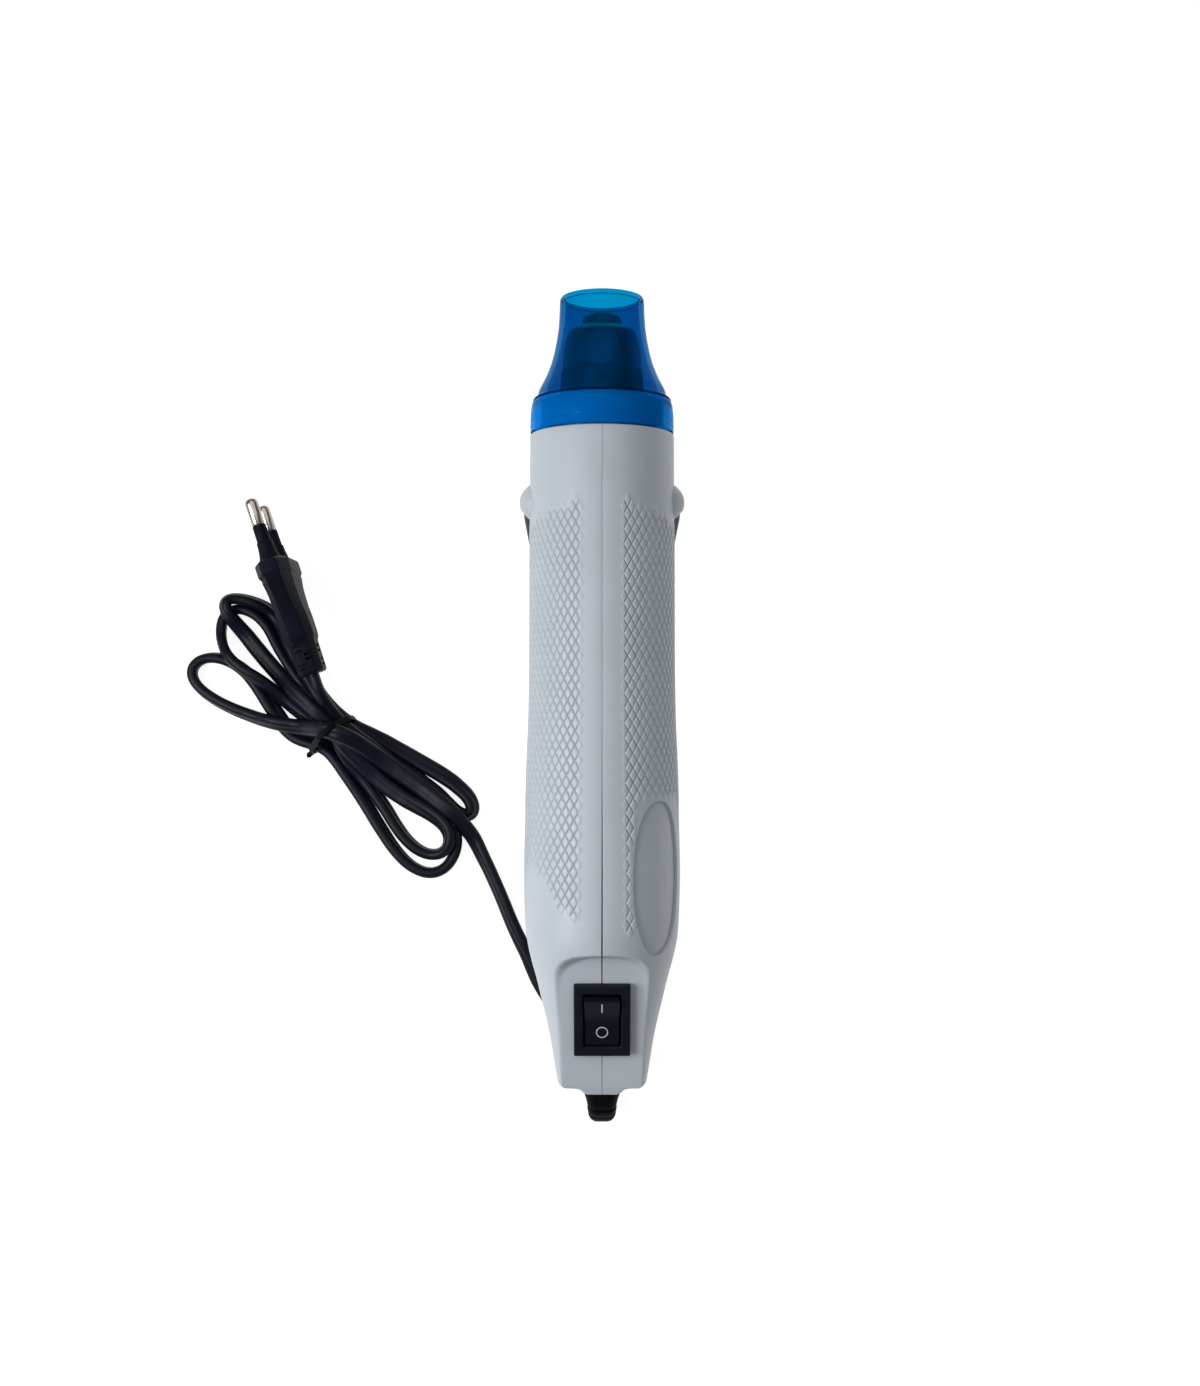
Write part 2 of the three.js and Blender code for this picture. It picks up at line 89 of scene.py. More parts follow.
def lathe(profile, segments=96, closed=True):
    """Points and faces of a turned shape about the tool's axis: profile is [(radius, along)]. A radius of 0 makes a pole."""
    verts, faces, rows = [], [], []
    for r, y in profile:
        if r < 1e-6:
            rows.append([len(verts)])
            verts.append((0, y, 0))
            continue
        rows.append(list(range(len(verts), len(verts) + segments)))
        for k in range(segments):
            a = 2 * math.pi * k / segments
            verts.append((r * math.sin(a), y, r * math.cos(a)))
    pairs = list(zip(rows[:-1], rows[1:]))
    if closed:
        pairs.append((rows[-1], rows[0]))
    for a, b in pairs:
        if len(a) == 1 and len(b) == 1:
            continue
        for k in range(segments):
            j = (k + 1) % segments
            if len(a) == 1:
                faces.append((a[0], b[j], b[k]))
            elif len(b) == 1:
                faces.append((a[k], a[j], b[0]))
            else:
                faces.append((a[k], a[j], b[j], b[k]))
    return verts, faces


def fillet(profile, radius, closed=True, steps=4):
    """Rounds each corner of a profile of (x, y) or (x, y, own radius)."""
    out, n = [], len(profile)
    for i, p in enumerate(profile):
        r = p[2] if len(p) > 2 else radius
        b = np.array(p[:2], float)
        if r <= 0 or (not closed and i in (0, n - 1)):
            out.append(tuple(b))
            continue
        a = np.array(profile[i - 1][:2], float)
        c = np.array(profile[(i + 1) % n][:2], float)
        la, lc = np.linalg.norm(a - b), np.linalg.norm(c - b)
        ua, uc = (a - b) / la, (c - b) / lc
        cos = float(np.clip(ua @ uc, -1, 1))
        if cos < -0.999:
            out.append(tuple(b))
            continue
        half = math.acos(cos) / 2
        cut = min(r / math.tan(half), 0.48 * la, 0.48 * lc)
        for k in range(steps + 1):
            t = k / steps
            out.append(tuple((1 - t) ** 2 * (b + ua * cut) + 2 * t * (1 - t) * b + t**2 * (b + uc * cut)))
    return out


def hermite(xs, ys):
    """Monotone cubic through the points; xs may fall."""
    xs, ys = np.asarray(xs, float), np.asarray(ys, float)
    order = np.argsort(xs)
    xs, ys = xs[order], ys[order]
    h, d = np.diff(xs), np.diff(ys) / np.diff(xs)
    m = np.zeros_like(ys)
    m[0], m[-1] = d[0], d[-1]
    for i in range(1, len(ys) - 1):
        if d[i - 1] * d[i] > 0:
            w1, w2 = 2 * h[i] + h[i - 1], h[i] + 2 * h[i - 1]
            m[i] = (w1 + w2) / (w1 / d[i - 1] + w2 / d[i])

    def at(x):
        x = np.clip(np.asarray(x, float), xs[0], xs[-1])
        i = np.clip(np.searchsorted(xs, x) - 1, 0, len(h) - 1)
        t = (x - xs[i]) / h[i]
        return (2 * t**3 - 3 * t**2 + 1) * ys[i] + (t**3 - 2 * t**2 + t) * h[i] * m[i] + (3 * t**2 - 2 * t**3) * ys[i + 1] + (t**3 - t**2) * h[i] * m[i + 1]

    return at


def sweep(path, sections, sides=None, caps=True, closed=False):
    """A tube along path. sections is one list of (side, up) points, or one list per path point; sides gives each point's side vector."""
    P = np.asarray(path, float)
    n = len(P)
    if closed:
        T = np.roll(P, -1, 0) - np.roll(P, 1, 0)
    else:
        T = np.gradient(P, axis=0)
    T /= np.linalg.norm(T, axis=1)[:, None]
    per_point = isinstance(sections[0][0], (list, tuple, np.ndarray))
    verts, faces = [], []
    side = None
    for i in range(n):
        if sides is not None:
            side = np.asarray(sides[i], float)
        elif side is None:
            seed = np.array([1.0, 0, 0]) if abs(T[0][0]) < 0.8 else np.array([0, 0, 1.0])
            side = seed
        side = side - T[i] * (side @ T[i])
        side = side / np.linalg.norm(side)
        up = np.cross(side, T[i])
        for a, b in sections[i] if per_point else sections:
            verts.append(P[i] + side * a + up * b)
    m = len(sections[0]) if per_point else len(sections)
    for i in range(n if closed else n - 1):
        j = (i + 1) % n
        for k in range(m):
            l = (k + 1) % m
            faces.append((i * m + k, i * m + l, j * m + l, j * m + k))
    if caps and not closed:
        faces.append(tuple(range(m - 1, -1, -1)))
        faces.append(tuple((n - 1) * m + k for k in range(m)))
    return verts, faces


def circle(r, n, squash=1.0):
    return [(r * math.cos(2 * math.pi * k / n), r * squash * math.sin(2 * math.pi * k / n)) for k in range(n)]


def prism(outline, y0, y1, axis="z"):
    """Closed prism of a (x, y) outline, along z (or turned so that its length lies along another axis)."""
    n = len(outline)
    verts = [(x, y, y0) for x, y in outline] + [(x, y, y1) for x, y in outline]
    faces = [tuple(range(n))[::-1], tuple(range(n, 2 * n))]
    faces += [(k, (k + 1) % n, n + (k + 1) % n, n + k) for k in range(n)]
    if axis == "x":
        verts = [(z, x, y) for x, y, z in verts]
    if axis == "y":
        verts = [(x, z, y) for x, y, z in verts]
    return verts, faces


def box(x, y, z, cx=0, cy=0, cz=0):
    return prism([(cx - x / 2, cy - y / 2), (cx + x / 2, cy - y / 2), (cx + x / 2, cy + y / 2), (cx - x / 2, cy + y / 2)], cz - z / 2, cz + z / 2)


def turn(shape, matrix):
    v, f = shape
    return [tuple(matrix @ Vector(p)) for p in v], f


def join(*shapes):
    verts, faces = [], []
    for v, f in shapes:
        o = len(verts)
        verts += list(v)
        faces += [tuple(i + o for i in g) for g in f]
    return verts, faces


def bevel(obj, width, segments=3, angle=35):
    mod = obj.modifiers.new("bevel", "BEVEL")
    mod.width = width * MM
    mod.segments = segments
    mod.limit_method = "ANGLE"
    mod.angle_limit = math.radians(angle)
    mod.harden_normals = False
    bake(obj)
    tidy(obj.data, 50)


def bake(obj):
    graph = bpy.context.evaluated_depsgraph_get()
    graph.update()
    new = bpy.data.meshes.new_from_object(obj.evaluated_get(graph))
    obj.modifiers.clear()
    obj.data = new


def carve(obj, shape, how="DIFFERENCE", place=TOOL, angle=38.0):
    """Cuts or joins closed shapes, given in millimetres, and keeps the result as plain mesh."""
    tool = make("cutter", *shape, place=place)
    mod = obj.modifiers.new("cut", "BOOLEAN")
    mod.operation = how
    mod.solver = "EXACT"
    mod.object = tool
    bake(obj)
    bpy.data.objects.remove(tool, do_unlink=True)
    tidy(obj.data, angle)


# ---------------------------------------------------------------- body shells
BODY = hermite(
    [72, 37, 10, -6.5, -20, -36, -50, -60, -67, -70.3, -73.6, -80.4, -85.5, -90.4, -97.2, -103.9, -108.3],
    [20.1, 20.24, 20.3, 20.55, 21.1, 21.55, 21.8, 21.6, 21.2, 20.7, 19.95, 18.1, 16.9, 15.7, 14.3, 13.2, 12.45],
)
CAVITY = hermite([69.2, 10, -20, -50, -62, -71, -80, -90.4, -97.2, -107.3], [18.0, 18.1, 18.8, 19.5, 19.2, 18.2, 16.0, 13.6, 12.1, 10.2])
HEEL = lambda v: (AXIS_Z + v * math.sin(TILT)) / math.cos(TILT)  # depth of the standing surface below the axis
PITCH = 180.0 / 27  # grip diamonds: angular width
LATTICE_TOP, LATTICE_ROWS = 58.0, 62  # rows 2 mm apart
OVAL = dict(theta=47.0, v=-50.2, half_arc=9.2, half_v=20.8)


def pad_plane(v):
    return PAD_W + (v - PAD_V) * math.tan(PAD_SLOPE)


def pad_edge(u, v):
    """Distance outside the outline of the switch pad, negative inside."""
    t = (v - PAD_V) / math.cos(PAD_SLOPE)
    u = abs(u) / 12.3
    if t > 9:
        return ((u**2.35 + ((t - 9) / 9.5) ** 2.35) ** (1 / 2.35) - 1) * 9.5
    return (u - 1) * 12.3


def soft_min(a, b, k):
    h = max(k - abs(a - b), 0.0) / k
    return min(a, b) - h * h * k * 0.25


def outer_radius(theta, v):
    """Body surface, with the pad cut into it. theta is from the top, in degrees."""
    r = float(BODY(v))
    a = math.radians(theta)
    if theta < 84 and v < -64:
        rp = pad_plane(v) / math.cos(a)
        d = pad_edge(rp * math.sin(a) if rp < r else r * math.sin(a), v)
        s = min(max((d + 0.8) / 1.6, 0), 1)
        s = s * s * (3 - 2 * s)
        if s < 1:
            inside = soft_min(r, rp, 0.7)
            r = inside + (r - inside) * s
    if theta > 150:  # flat heel
        h = HEEL(v) / max(-math.cos(a), 0.2)
        if h < r:
            r = h
    return r


def in_oval(theta, v, grow=0.0):
    x = math.radians(theta - OVAL["theta"]) * 21.6 / (OVAL["half_arc"] + grow)
    y = (v - OVAL["v"]) / (OVAL["half_v"] + grow)
    return abs(x) ** 2.3 + abs(y) ** 2.3 < 1


def in_grip(theta, v, right):
    if theta < 14.2 or theta > 112:
        return False
    top = 53.0 - (theta - 14) * 0.095
    low = -61.6 + (theta - 14) * 0.17 + max(theta - 37, 0) * 0.42
    if right:
        if in_oval(theta, v, 0.8):
            return False
        if theta < 24:
            low = -65.0
        elif v < -28 and theta < 75 and abs(theta - 48) < 26:
            low = -30.0 + abs(theta - 48) * 0.1 if theta > 26 else low
    return low < v < top


def half_shell(right):
    verts, faces, rows = [], [], []

    def seam_gap(v):
        x = (v + 60) / 30
        return 0.045 + 0.14 * math.exp(-x * x)

    def put(theta, r, v, gap=None):
        g = (seam_gap(v) if gap is None else gap) / max(r, 3.0)
        a = g + math.radians(theta) * (math.pi - 2 * g) / math.pi
        verts.append((r * math.sin(a), v, r * math.cos(a)))
        return len(verts) - 1

    def ring(thetas, radius, v, gap=None):
        ids = [put(t, radius(t) if callable(radius) else radius, v, gap) for t in thetas]
        rows.append((list(thetas), ids))

    def zip_rows(a, b):
        (ta, ia), (tb, ib) = a, b
        i = j = 0
        if len(ta) == len(tb):
            for k in range(len(ta) - 1):
                faces.append((ia[k], ib[k], ib[k + 1], ia[k + 1]))
            return
        while i < len(ta) - 1 or j < len(tb) - 1:
            if j == len(tb) - 1 or (i < len(ta) - 1 and ta[i + 1] <= tb[j + 1]):
                faces.append((ia[i], ib[j], ia[i + 1]))
                i += 1
            else:
                faces.append((ia[i], ib[j], ib[j + 1]))
                j += 1

    half = [k * PITCH / 2 for k in range(55)]
    # front lip of the body, then plain rows down to the grip lattice
    lip = lambda v: [(72.0, 19.7), (71.9, 19.95), (71.5, 20.1)][v]
    for k in range(3):
        ring(half, lip(k)[1], lip(k)[0])
    for v in np.arange(70, 58.5, -2.0):
        ring(half, lambda t, v=v: outer_radius(t, v), v)
    plain_rows = len(rows)

    # lattice of diamonds
    R = LATTICE_ROWS
    row_v = [LATTICE_TOP - 2.0 * r for r in range(R + 1)]
    corner, mid = {}, {}
    raised = set()
    for r in range(1, R):
        for k2 in range(r % 2 == 0 and 1 or 2, 54, 2):
            if k2 % 2 == (1 if r % 2 == 0 else 0) and in_grip(k2 * PITCH / 2, row_v[r], right):
                raised.add((r, k2))

    def is_low(r, k2):
        near = [(r - 1, k2), (r + 1, k2), (r, k2 - 1), (r, k2 + 1)]
        return all(n in raised for n in near)

    def at_corner(r, k2):
        key = (r, k2)
        if key not in corner:
            t, v = k2 * PITCH / 2, row_v[r]
            sink = -0.28 if is_low(r, k2) else 0.0
            if k2 in (0, 54):
                sink = -0.10
            corner[key] = put(t, outer_radius(t, v) + sink, v)
        return corner[key]

    def at_mid(p, q):
        key = (min(p, q), max(p, q))
        if key not in mid:
            t, v = (p[1] + q[1]) * PITCH / 4, (row_v[p[0]] + row_v[q[0]]) / 2
            # the two diamonds beside this edge
            (r0, k0), (r1, k1) = key
            beside = [(r0, k1), (r1, k0)]
            sink = -0.28 if all(b in raised for b in beside) else 0.0
            mid[key] = put(t, outer_radius(t, v) + sink, v)
        return mid[key]

    def lift(t, v):
        return outer_radius(t, v)

    for r in range(0, R + 1):
        first = 1 if r % 2 == 0 else 0
        for k2 in range(first, 55, 2):
            t, v = k2 * PITCH / 2, row_v[r]
            left, right_, up, down = (r, k2 - 1), (r, k2 + 1), (r - 1, k2), (r + 1, k2)
            loop = []
            order = [up, left, down, right_]
            ok = [p for p in order if 0 <= p[0] <= R and 0 <= p[1] <= 54]
            centre = None
            if len(ok) == 4:
                for a, b in zip(order, order[1:] + order[:1]):
                    loop += [at_corner(*a), at_mid(a, b)]
                if (r, k2) in raised:
                    prev = loop
                    for inset, height in ((0.22, 0.03), (0.31, 0.09), (0.64, 0.10)):
                        cur = []
                        for n, idx in enumerate(loop):
                            f = 1 - inset * (1.22 if n % 2 == 0 else 1.0)
                            p = [order[n // 2]] if n % 2 == 0 else [order[n // 2], order[(n // 2 + 1) % 4]]
                            tt = sum(q[1] for q in p) / len(p) * PITCH / 2
                            vv = sum(row_v[q[0]] for q in p) / len(p)
                            t1, v1 = t + (tt - t) * f, v + (vv - v) * f
                            cur.append(put(t1, lift(t1, v1) + height, v1))
                        for n in range(8):
                            m = (n + 1) % 8
                            faces.append((prev[n], prev[m], cur[m], cur[n]))
                        prev = cur
                    centre = put(t, lift(t, v) + 0.10, v)
                    loop = prev
                else:
                    centre = put(t, lift(t, v), v)
                for n in range(8):
                    faces.append((loop[n], loop[(n + 1) % 8], centre))
            else:
                # half diamond on the edge of the lattice
                sink = -0.10 if k2 in (0, 54) else 0.0
                centre = put(t, lift(t, v) + sink, v)
                start = 0
                while order[start] in ok and order[start - 1] in ok or order[start] not in ok:
                    start += 1
                seq = [order[(start + n) % 4] for n in range(3)]
                loop = [at_corner(*seq[0]), at_mid(seq[0], seq[1]), at_corner(*seq[1]), at_mid(seq[1], seq[2]), at_corner(*seq[2])]
                for n in range(4):
                    faces.append((loop[n], loop[n + 1], centre))
            corner[("c", r, k2)] = centre
    top_ids = [corner[(0, k)] if k % 2 == 0 else corner[("c", 0, k)] for k in range(55)]
    low_ids = [corner[(R, k)] if k % 2 == 0 else corner[("c", R, k)] for k in range(55)]
    seam0 = [corner[(r, 0)] if r % 2 == 0 else corner[("c", r, 0)] for r in range(R + 1)]
    seam1 = [corner[(r, 54)] if r % 2 == 0 else corner[("c", r, 54)] for r in range(R + 1)]
    lattice_top, lattice_low = (half, top_ids), (half, low_ids)

    # tail with the pad
    fine = [0, 0.35] + list(np.arange(0.9, 74, 0.8)) + list(np.linspace(75, 150, 26)) + list(np.linspace(153, 180, 14))
    tail = []
    vs = list(np.arange(-66.4, -73.4, -0.3)) + list(np.arange(-73.6, -108.2, -0.5)) + [-108.3]
    for v in vs:
        ring(fine, lambda t, v=v: outer_radius(t, v) - (0.1 if t in (0, 180) else 0.0), v)
        tail.append(rows.pop())
    ends = [(-108.9, 12.2, 0.0), (-109.3, 11.8, 0.04), (-109.5, 11.2, 0.09), (-109.55, 9.8, 0.14), (-109.7, 8.6, 0.2), (-109.95, 7.6, 0.28), (-110.35, 6.8, 0.38), (-110.9, 6.15, 0.52), (-111.35, 5.75, 0.68), (-111.5, 5.5, 0.8), (-111.5, 4.9, 1.25), (-107.3, 4.9, 1.35)]
    for v, r, c in ends:
        ring(fine, lambda t, v=v, r=r, c=c: min(r, (pad_plane(v) - c) / math.cos(math.radians(t))) if t < 84 else r, v)
        tail.append(rows.pop())
    coarse = list(np.linspace(0, 180, 49))
    inner = []
    for v in [-107.3, -104, -100, -96, -92, -88, -84, -80, -76, -72, -68, -62, -56, -50, -40, -30, -20, -10, 0, 10, 25, 40, 55, 69.2]:
        ring(coarse, lambda t, v=v: min(float(CAVITY(v)), (pad_plane(v) - 2.3) / math.cos(math.radians(t)) if t < 84 else 99, HEEL(v) / max(-math.cos(math.radians(t)), 0.2) - 1.6 if t > 150 else 99), v, 0.02)
        inner.append(rows.pop())
    for v, r in [(71.5, 15.3), (79.0, 15.3), (79.0, 11.7), (81.0, 11.7), (81.0, 16.9), (80.6, 17.3), (72.0, 17.3)]:
        ring(coarse, r, v, 0.02)
        inner.append(rows.pop())

    for a, b in zip(rows[:-1], rows[1:]):
        zip_rows(a, b)
    zip_rows(rows[-1], lattice_top)
    chain = [lattice_low] + tail + inner + [rows[0]]
    for a, b in zip(chain[:-1], chain[1:]):
        zip_rows(a, b)
    # flat faces along the seam
    for pick, seam in ((0, seam0), (-1, seam1)):
        loop = [ids[pick] for _, ids in rows] + seam + [ids[pick] for _, ids in tail + inner]
        flat = [Vector((verts[i][1], verts[i][2], 0)) for i in loop]
        for tri in tessellate_polygon([flat]):
            faces.append(tuple(loop[i] for i in tri))
    if not right:
        verts = [(-x, y, z) for x, y, z in verts]
        faces = [f[::-1] for f in faces]
    return verts, faces


def boss(side):
    """Domed boss over the stand's pivot, with a fillet at its foot."""
    line = hermite([0, 1.4, 2.5, 3.4, 4.3, 4.95, 5.6], [23.05, 22.9, 22.45, 21.85, 21.0, 20.2, 18.9])
    prof = [(0, 17.2), (5.6, 17.2)] + [(r, float(line(r))) for r in np.linspace(5.6, 0.3, 30)] + [(0, 23.05)]
    return turn(lathe(prof, 72, closed=False), Matrix.Translation((0, 53.2, 0)) @ Matrix.Rotation(-side * math.pi / 2, 4, "Z"))


def oval_cutter():
    """Shallow recess whose floor follows the body."""
    n, rings = 72, [0.0, 0.35, 0.6, 0.8, 0.93, 1.0]
    verts, faces, grid = [], [], []

    def spot(f, k, level):
        a = 2 * math.pi * k / n
        c, s = math.cos(a), math.sin(a)
        x = math.copysign(abs(c) ** (2 / 2.3), c) * OVAL["half_arc"] * f
        y = math.copysign(abs(s) ** (2 / 2.3), s) * OVAL["half_v"] * f + OVAL["v"]
        t = math.radians(OVAL["theta"]) + x / 21.6
        r = float(BODY(y)) + level
        verts.append((r * math.sin(t), y, r * math.cos(t)))
        return len(verts) - 1

    low = [[spot(f, k, -0.75) for k in range(n)] for f in rings[1:]]
    high = [[spot(f * (1.03 if f == 1 else 1), k, 3.0) for k in range(n)] for f in rings[1:]]
    cl, ch = spot(0, 0, -0.75), spot(0, 0, 3.0)
    for level, c, flip in ((low, cl, True), (high, ch, False)):
        for k in range(n):
            j = (k + 1) % n
            tri = (c, level[0][k], level[0][j])
            faces.append(tri[::-1] if flip else tri)
            for i in range(len(level) - 1):
                quad = (level[i][k], level[i + 1][k], level[i + 1][j], level[i][j])
                faces.append(quad[::-1] if flip else quad)
    for k in range(n):
        j = (k + 1) % n
        faces.append((low[-1][k], low[-1][j], high[-1][j], high[-1][k]))
    return verts, faces


SCREWS, SCREW_W = (44, -36, -64), -12.5
TO_X = Matrix.Rotation(-math.pi / 2, 4, "Z")  # lathe axis to +X


def rod_x(r, x0, x1, y, z, n=32):
    return turn(lathe([(0, x0), (r, x0), (r, x1), (0, x1)], n, closed=False), Matrix.Translation((0, y, z)) @ TO_X)


def build_shell(right):
    side = 1 if right else -1
    name = "right_shell_skin" if right else "left_shell_skin"
    obj = make(name, *half_shell(right), smooth=38)
    carve(obj, boss(side), "UNION")
    carve(obj, box(2.5, 7.2, 9.0, side * 21.2, 51.2, -3.1))
    carve(obj, rod_x(1.3, *sorted((side * 12, side * 22.6)), 53.2, 0))
    cuts = []
    for k in range(6):
        slot = fillet([(-4.6, -0.9, 0.88), (4.6, -0.9, 0.88), (4.6, 0.9, 0.88), (-4.6, 0.9, 0.88)], 0.88, steps=5)
        v, f = prism(slot, -5, 5)
        m = Matrix.Translation((side * 14.9, -24 + 3.6 * k, -14.9)) @ Matrix.Rotation(side * math.pi * 3 / 4, 4, "Y")
        cuts.append(turn((v, f), m))
    carve(obj, join(*cuts))
    carve(obj, box(4.0, 7.1, 6.5, side * 22.1, 51.2, -4.4))
    if right:
        carve(obj, join(*[rod_x(3.0, 6.6, 26, y, SCREW_W) for y in SCREWS]))
        carve(obj, oval_cutter())
    carve(obj, box(13.4, 19.6, 14, 0, 0, -1), place=PAD)
    return obj


# ---------------------------------------------------------------- materials
def linear(r, g, b):
    f = lambda c: c / 12.92 if c <= 0.04045 else ((c + 0.055) / 1.055) ** 2.4
    return (f(r / 255), f(g / 255), f(b / 255), 1.0)


class Finish:
    """A Principled material with detail from procedural textures, in object coordinates (metres)."""

    def __init__(self, name, color, rough, metal=0.0, **sockets):
        self.m = bpy.data.materials.new(name)
        self.m.use_nodes = True
        self.t = self.m.node_tree
        self.b = next(n for n in self.t.nodes if n.type == "BSDF_PRINCIPLED")
        self.b.inputs["Base Color"].default_value = color
        self.b.inputs["Roughness"].default_value = rough
        self.b.inputs["Metallic"].default_value = metal
        for k, v in sockets.items():
            self.b.inputs[k.replace("_", " ")].default_value = v
        self.color, self.rough = color, rough
        self.coord = self.t.nodes.new("ShaderNodeTexCoord")
        self.height = None

    def link(self, a, b):
        self.t.links.new(a, b)

    def spread(self, stretch=(1, 1, 1), turn=(0, 0, 0)):
        n = self.t.nodes.new("ShaderNodeMapping")
        n.inputs["Scale"].default_value = stretch
        n.inputs["Rotation"].default_value = turn
        self.link(self.coord.outputs["Object"], n.inputs["Vector"])
        return n.outputs["Vector"]

    def noise(self, scale, detail=3.0, rough=0.55, stretch=(1, 1, 1), turn=(0, 0, 0)):
        n = self.t.nodes.new("ShaderNodeTexNoise")
        n.inputs["Scale"].default_value = scale
        n.inputs["Detail"].default_value = detail
        n.inputs["Roughness"].default_value = rough
        self.link(self.spread(stretch, turn), n.inputs["Vector"])
        return n.outputs["Fac"]

    def ramp(self, fac, stops):
        n = self.t.nodes.new("ShaderNodeValToRGB")
        e = n.color_ramp.elements
        e[0].position, e[0].color = stops[0]
        e[1].position, e[1].color = stops[-1]
        for p, c in stops[1:-1]:
            x = e.new(p)
            x.color = c
        self.link(fac, n.inputs["Fac"])
        return n.outputs["Color"]

    def tint(self, fac, low, high, lo=0.35, hi=0.65):
        c = self.color
        a = tuple(min(1, x * low) for x in c[:3]) + (1,)
        b = tuple(min(1, x * high) for x in c[:3]) + (1,)
        self.link(self.ramp(fac, [(lo, a), (hi, b)]), self.b.inputs["Base Color"])
        return self

    def gloss(self, fac, low, high, lo=0.3, hi=0.7):
        n = self.t.nodes.new("ShaderNodeMapRange")
        n.inputs["From Min"].default_value = lo
        n.inputs["From Max"].default_value = hi
        n.inputs["To Min"].default_value = low
        n.inputs["To Max"].default_value = high
        self.link(fac, n.inputs["Value"])
        self.link(n.outputs["Result"], self.b.inputs["Roughness"])
        return self

    def bump(self, fac, strength, distance):
        n = self.t.nodes.new("ShaderNodeBump")
        n.inputs["Strength"].default_value = strength
        n.inputs["Distance"].default_value = distance
        self.link(fac, n.inputs["Height"])
        if self.height is not None:
            self.link(self.height, n.inputs["Normal"])
        self.height = n.outputs["Normal"]
        self.link(self.height, self.b.inputs["Normal"])
        return self


def moulded(name, color, rough, grain=4200, depth=0.5, spread=0.05, shine=0.45):
    f = Finish(name, color, rough, Specular_IOR_Level=shine)
    f.tint(f.noise(60, 4), 1 - spread, 1 + spread)
    f.gloss(f.noise(900, 3), rough - 0.05, rough + 0.07)
    f.bump(f.noise(grain, 2, 0.6), depth, 0.00003)
    return f.m


def metal(name, color, rough, stretch=(1, 1, 1), scale=1500, depth=0.35):
    f = Finish(name, color, rough, 1.0)
    f.tint(f.noise(220, 4), 0.86, 1.08)
    f.gloss(f.noise(scale, 4, 0.6, stretch), rough - 0.08, rough + 0.12)
    f.bump(f.noise(scale, 3, 0.6, stretch), depth, 0.00002)
    return f.m


GREY = moulded("shell_grey", linear(165, 172, 179), 0.42, 2000, 0.8, 0.025, 0.42)
OVAL_GREY = GREY
BLACK = moulded("switch_black", linear(16, 19, 28), 0.42, 4200, 0.3, 0.15, 0.12)
ROCKER = moulded("rocker_black", linear(15, 18, 28), 0.40, 5200, 0.22, 0.15, 0.12)
MARK = moulded("mark_white", linear(168, 172, 178), 0.5, 3000, 0.2, 0.05)
CORD = moulded("cord_black", linear(11, 15, 26), 0.40, 1400, 0.25, 0.18, 0.12)
BOOT = moulded("boot_black", linear(3, 5, 9), 0.55, 2600, 0.35, 0.15, 0.06)
PLUG = moulded("plug_black", linear(10, 14, 24), 0.5, 2600, 0.4, 0.15, 0.05)
WIRE = metal("stand_black", linear(46, 47, 52), 0.42, (1, 1, 1), 2500, 0.25)
PIN = metal("pin_nickel", linear(178, 171, 160), 0.2, (1, 0.05, 1), 2500, 0.2)
NOZZLE = metal("nozzle_steel", linear(168, 170, 173), 0.46, (1, 8, 1), 600, 0.3)
DULL = metal("nozzle_dull", linear(150, 152, 154), 0.55, (1, 8, 1), 600, 0.3)
STEEL = metal("bright_steel", linear(180, 182, 186), 0.3)
BRASS = metal("brass", linear(200, 164, 88), 0.32)
COPPER = metal("copper", linear(176, 104, 62), 0.4, (1, 10, 1), 500, 0.5)
NICHROME = metal("nichrome", linear(128, 118, 106), 0.45)
MICA = moulded("mica", linear(214, 198, 160), 0.45, 700, 0.4, 0.18)
BOARD = moulded("board", linear(48, 108, 62), 0.4, 900, 0.3, 0.15)
RED = moulded("lead_red", linear(150, 36, 32), 0.45, 1500, 0.3, 0.1)
BROWN = moulded("lead_brown", linear(104, 64, 40), 0.45, 1500, 0.3, 0.1)
CERAMIC = moulded("ceramic", linear(228, 224, 214), 0.35, 900, 0.2, 0.05)
FERRITE = moulded("ferrite", linear(52, 52, 54), 0.6, 1200, 0.5, 0.2)



def tinted(name, color, clear, shine, ior, soak=None):
    f = Finish(name, color, 0.06, 0.0, Transmission_Weight=clear, IOR=ior, Specular_IOR_Level=shine)
    f.gloss(f.noise(420, 4), 0.04, 0.09)
    f.bump(f.noise(260, 2), 0.06, 0.00004)
    f.tint(f.noise(45, 3), 0.95, 1.05)
    if soak:  # deeper colour where more plastic is looked through
        n = f.t.nodes.new("ShaderNodeVolumeAbsorption")
        n.inputs["Color"].default_value = soak
        n.inputs["Density"].default_value = 500
        out = next(x for x in f.t.nodes if x.type == "OUTPUT_MATERIAL")
        f.link(n.outputs["Volume"], out.inputs["Volume"])
    return f.m


BLUE = tinted("guard_blue", linear(0, 146, 194), 0.97, 0.15, 1.06, (0, 0.786, 0.898, 1))
BAND = tinted("guard_blue_skirt", linear(0, 134, 216), 0.68, 0.0, 1.06)
# dark blue for thin rings that are painted shade: they stand in for the dark edge lines on the guard
PAINTED_SHADE_BLUE = moulded("guard_painted_shade_blue", linear(0, 22, 66), 0.5, 2600, 0.2, 0.1, 0.0)


def dress(obj, material):
    obj.data.materials.clear()
    obj.data.materials.append(material)
    return obj


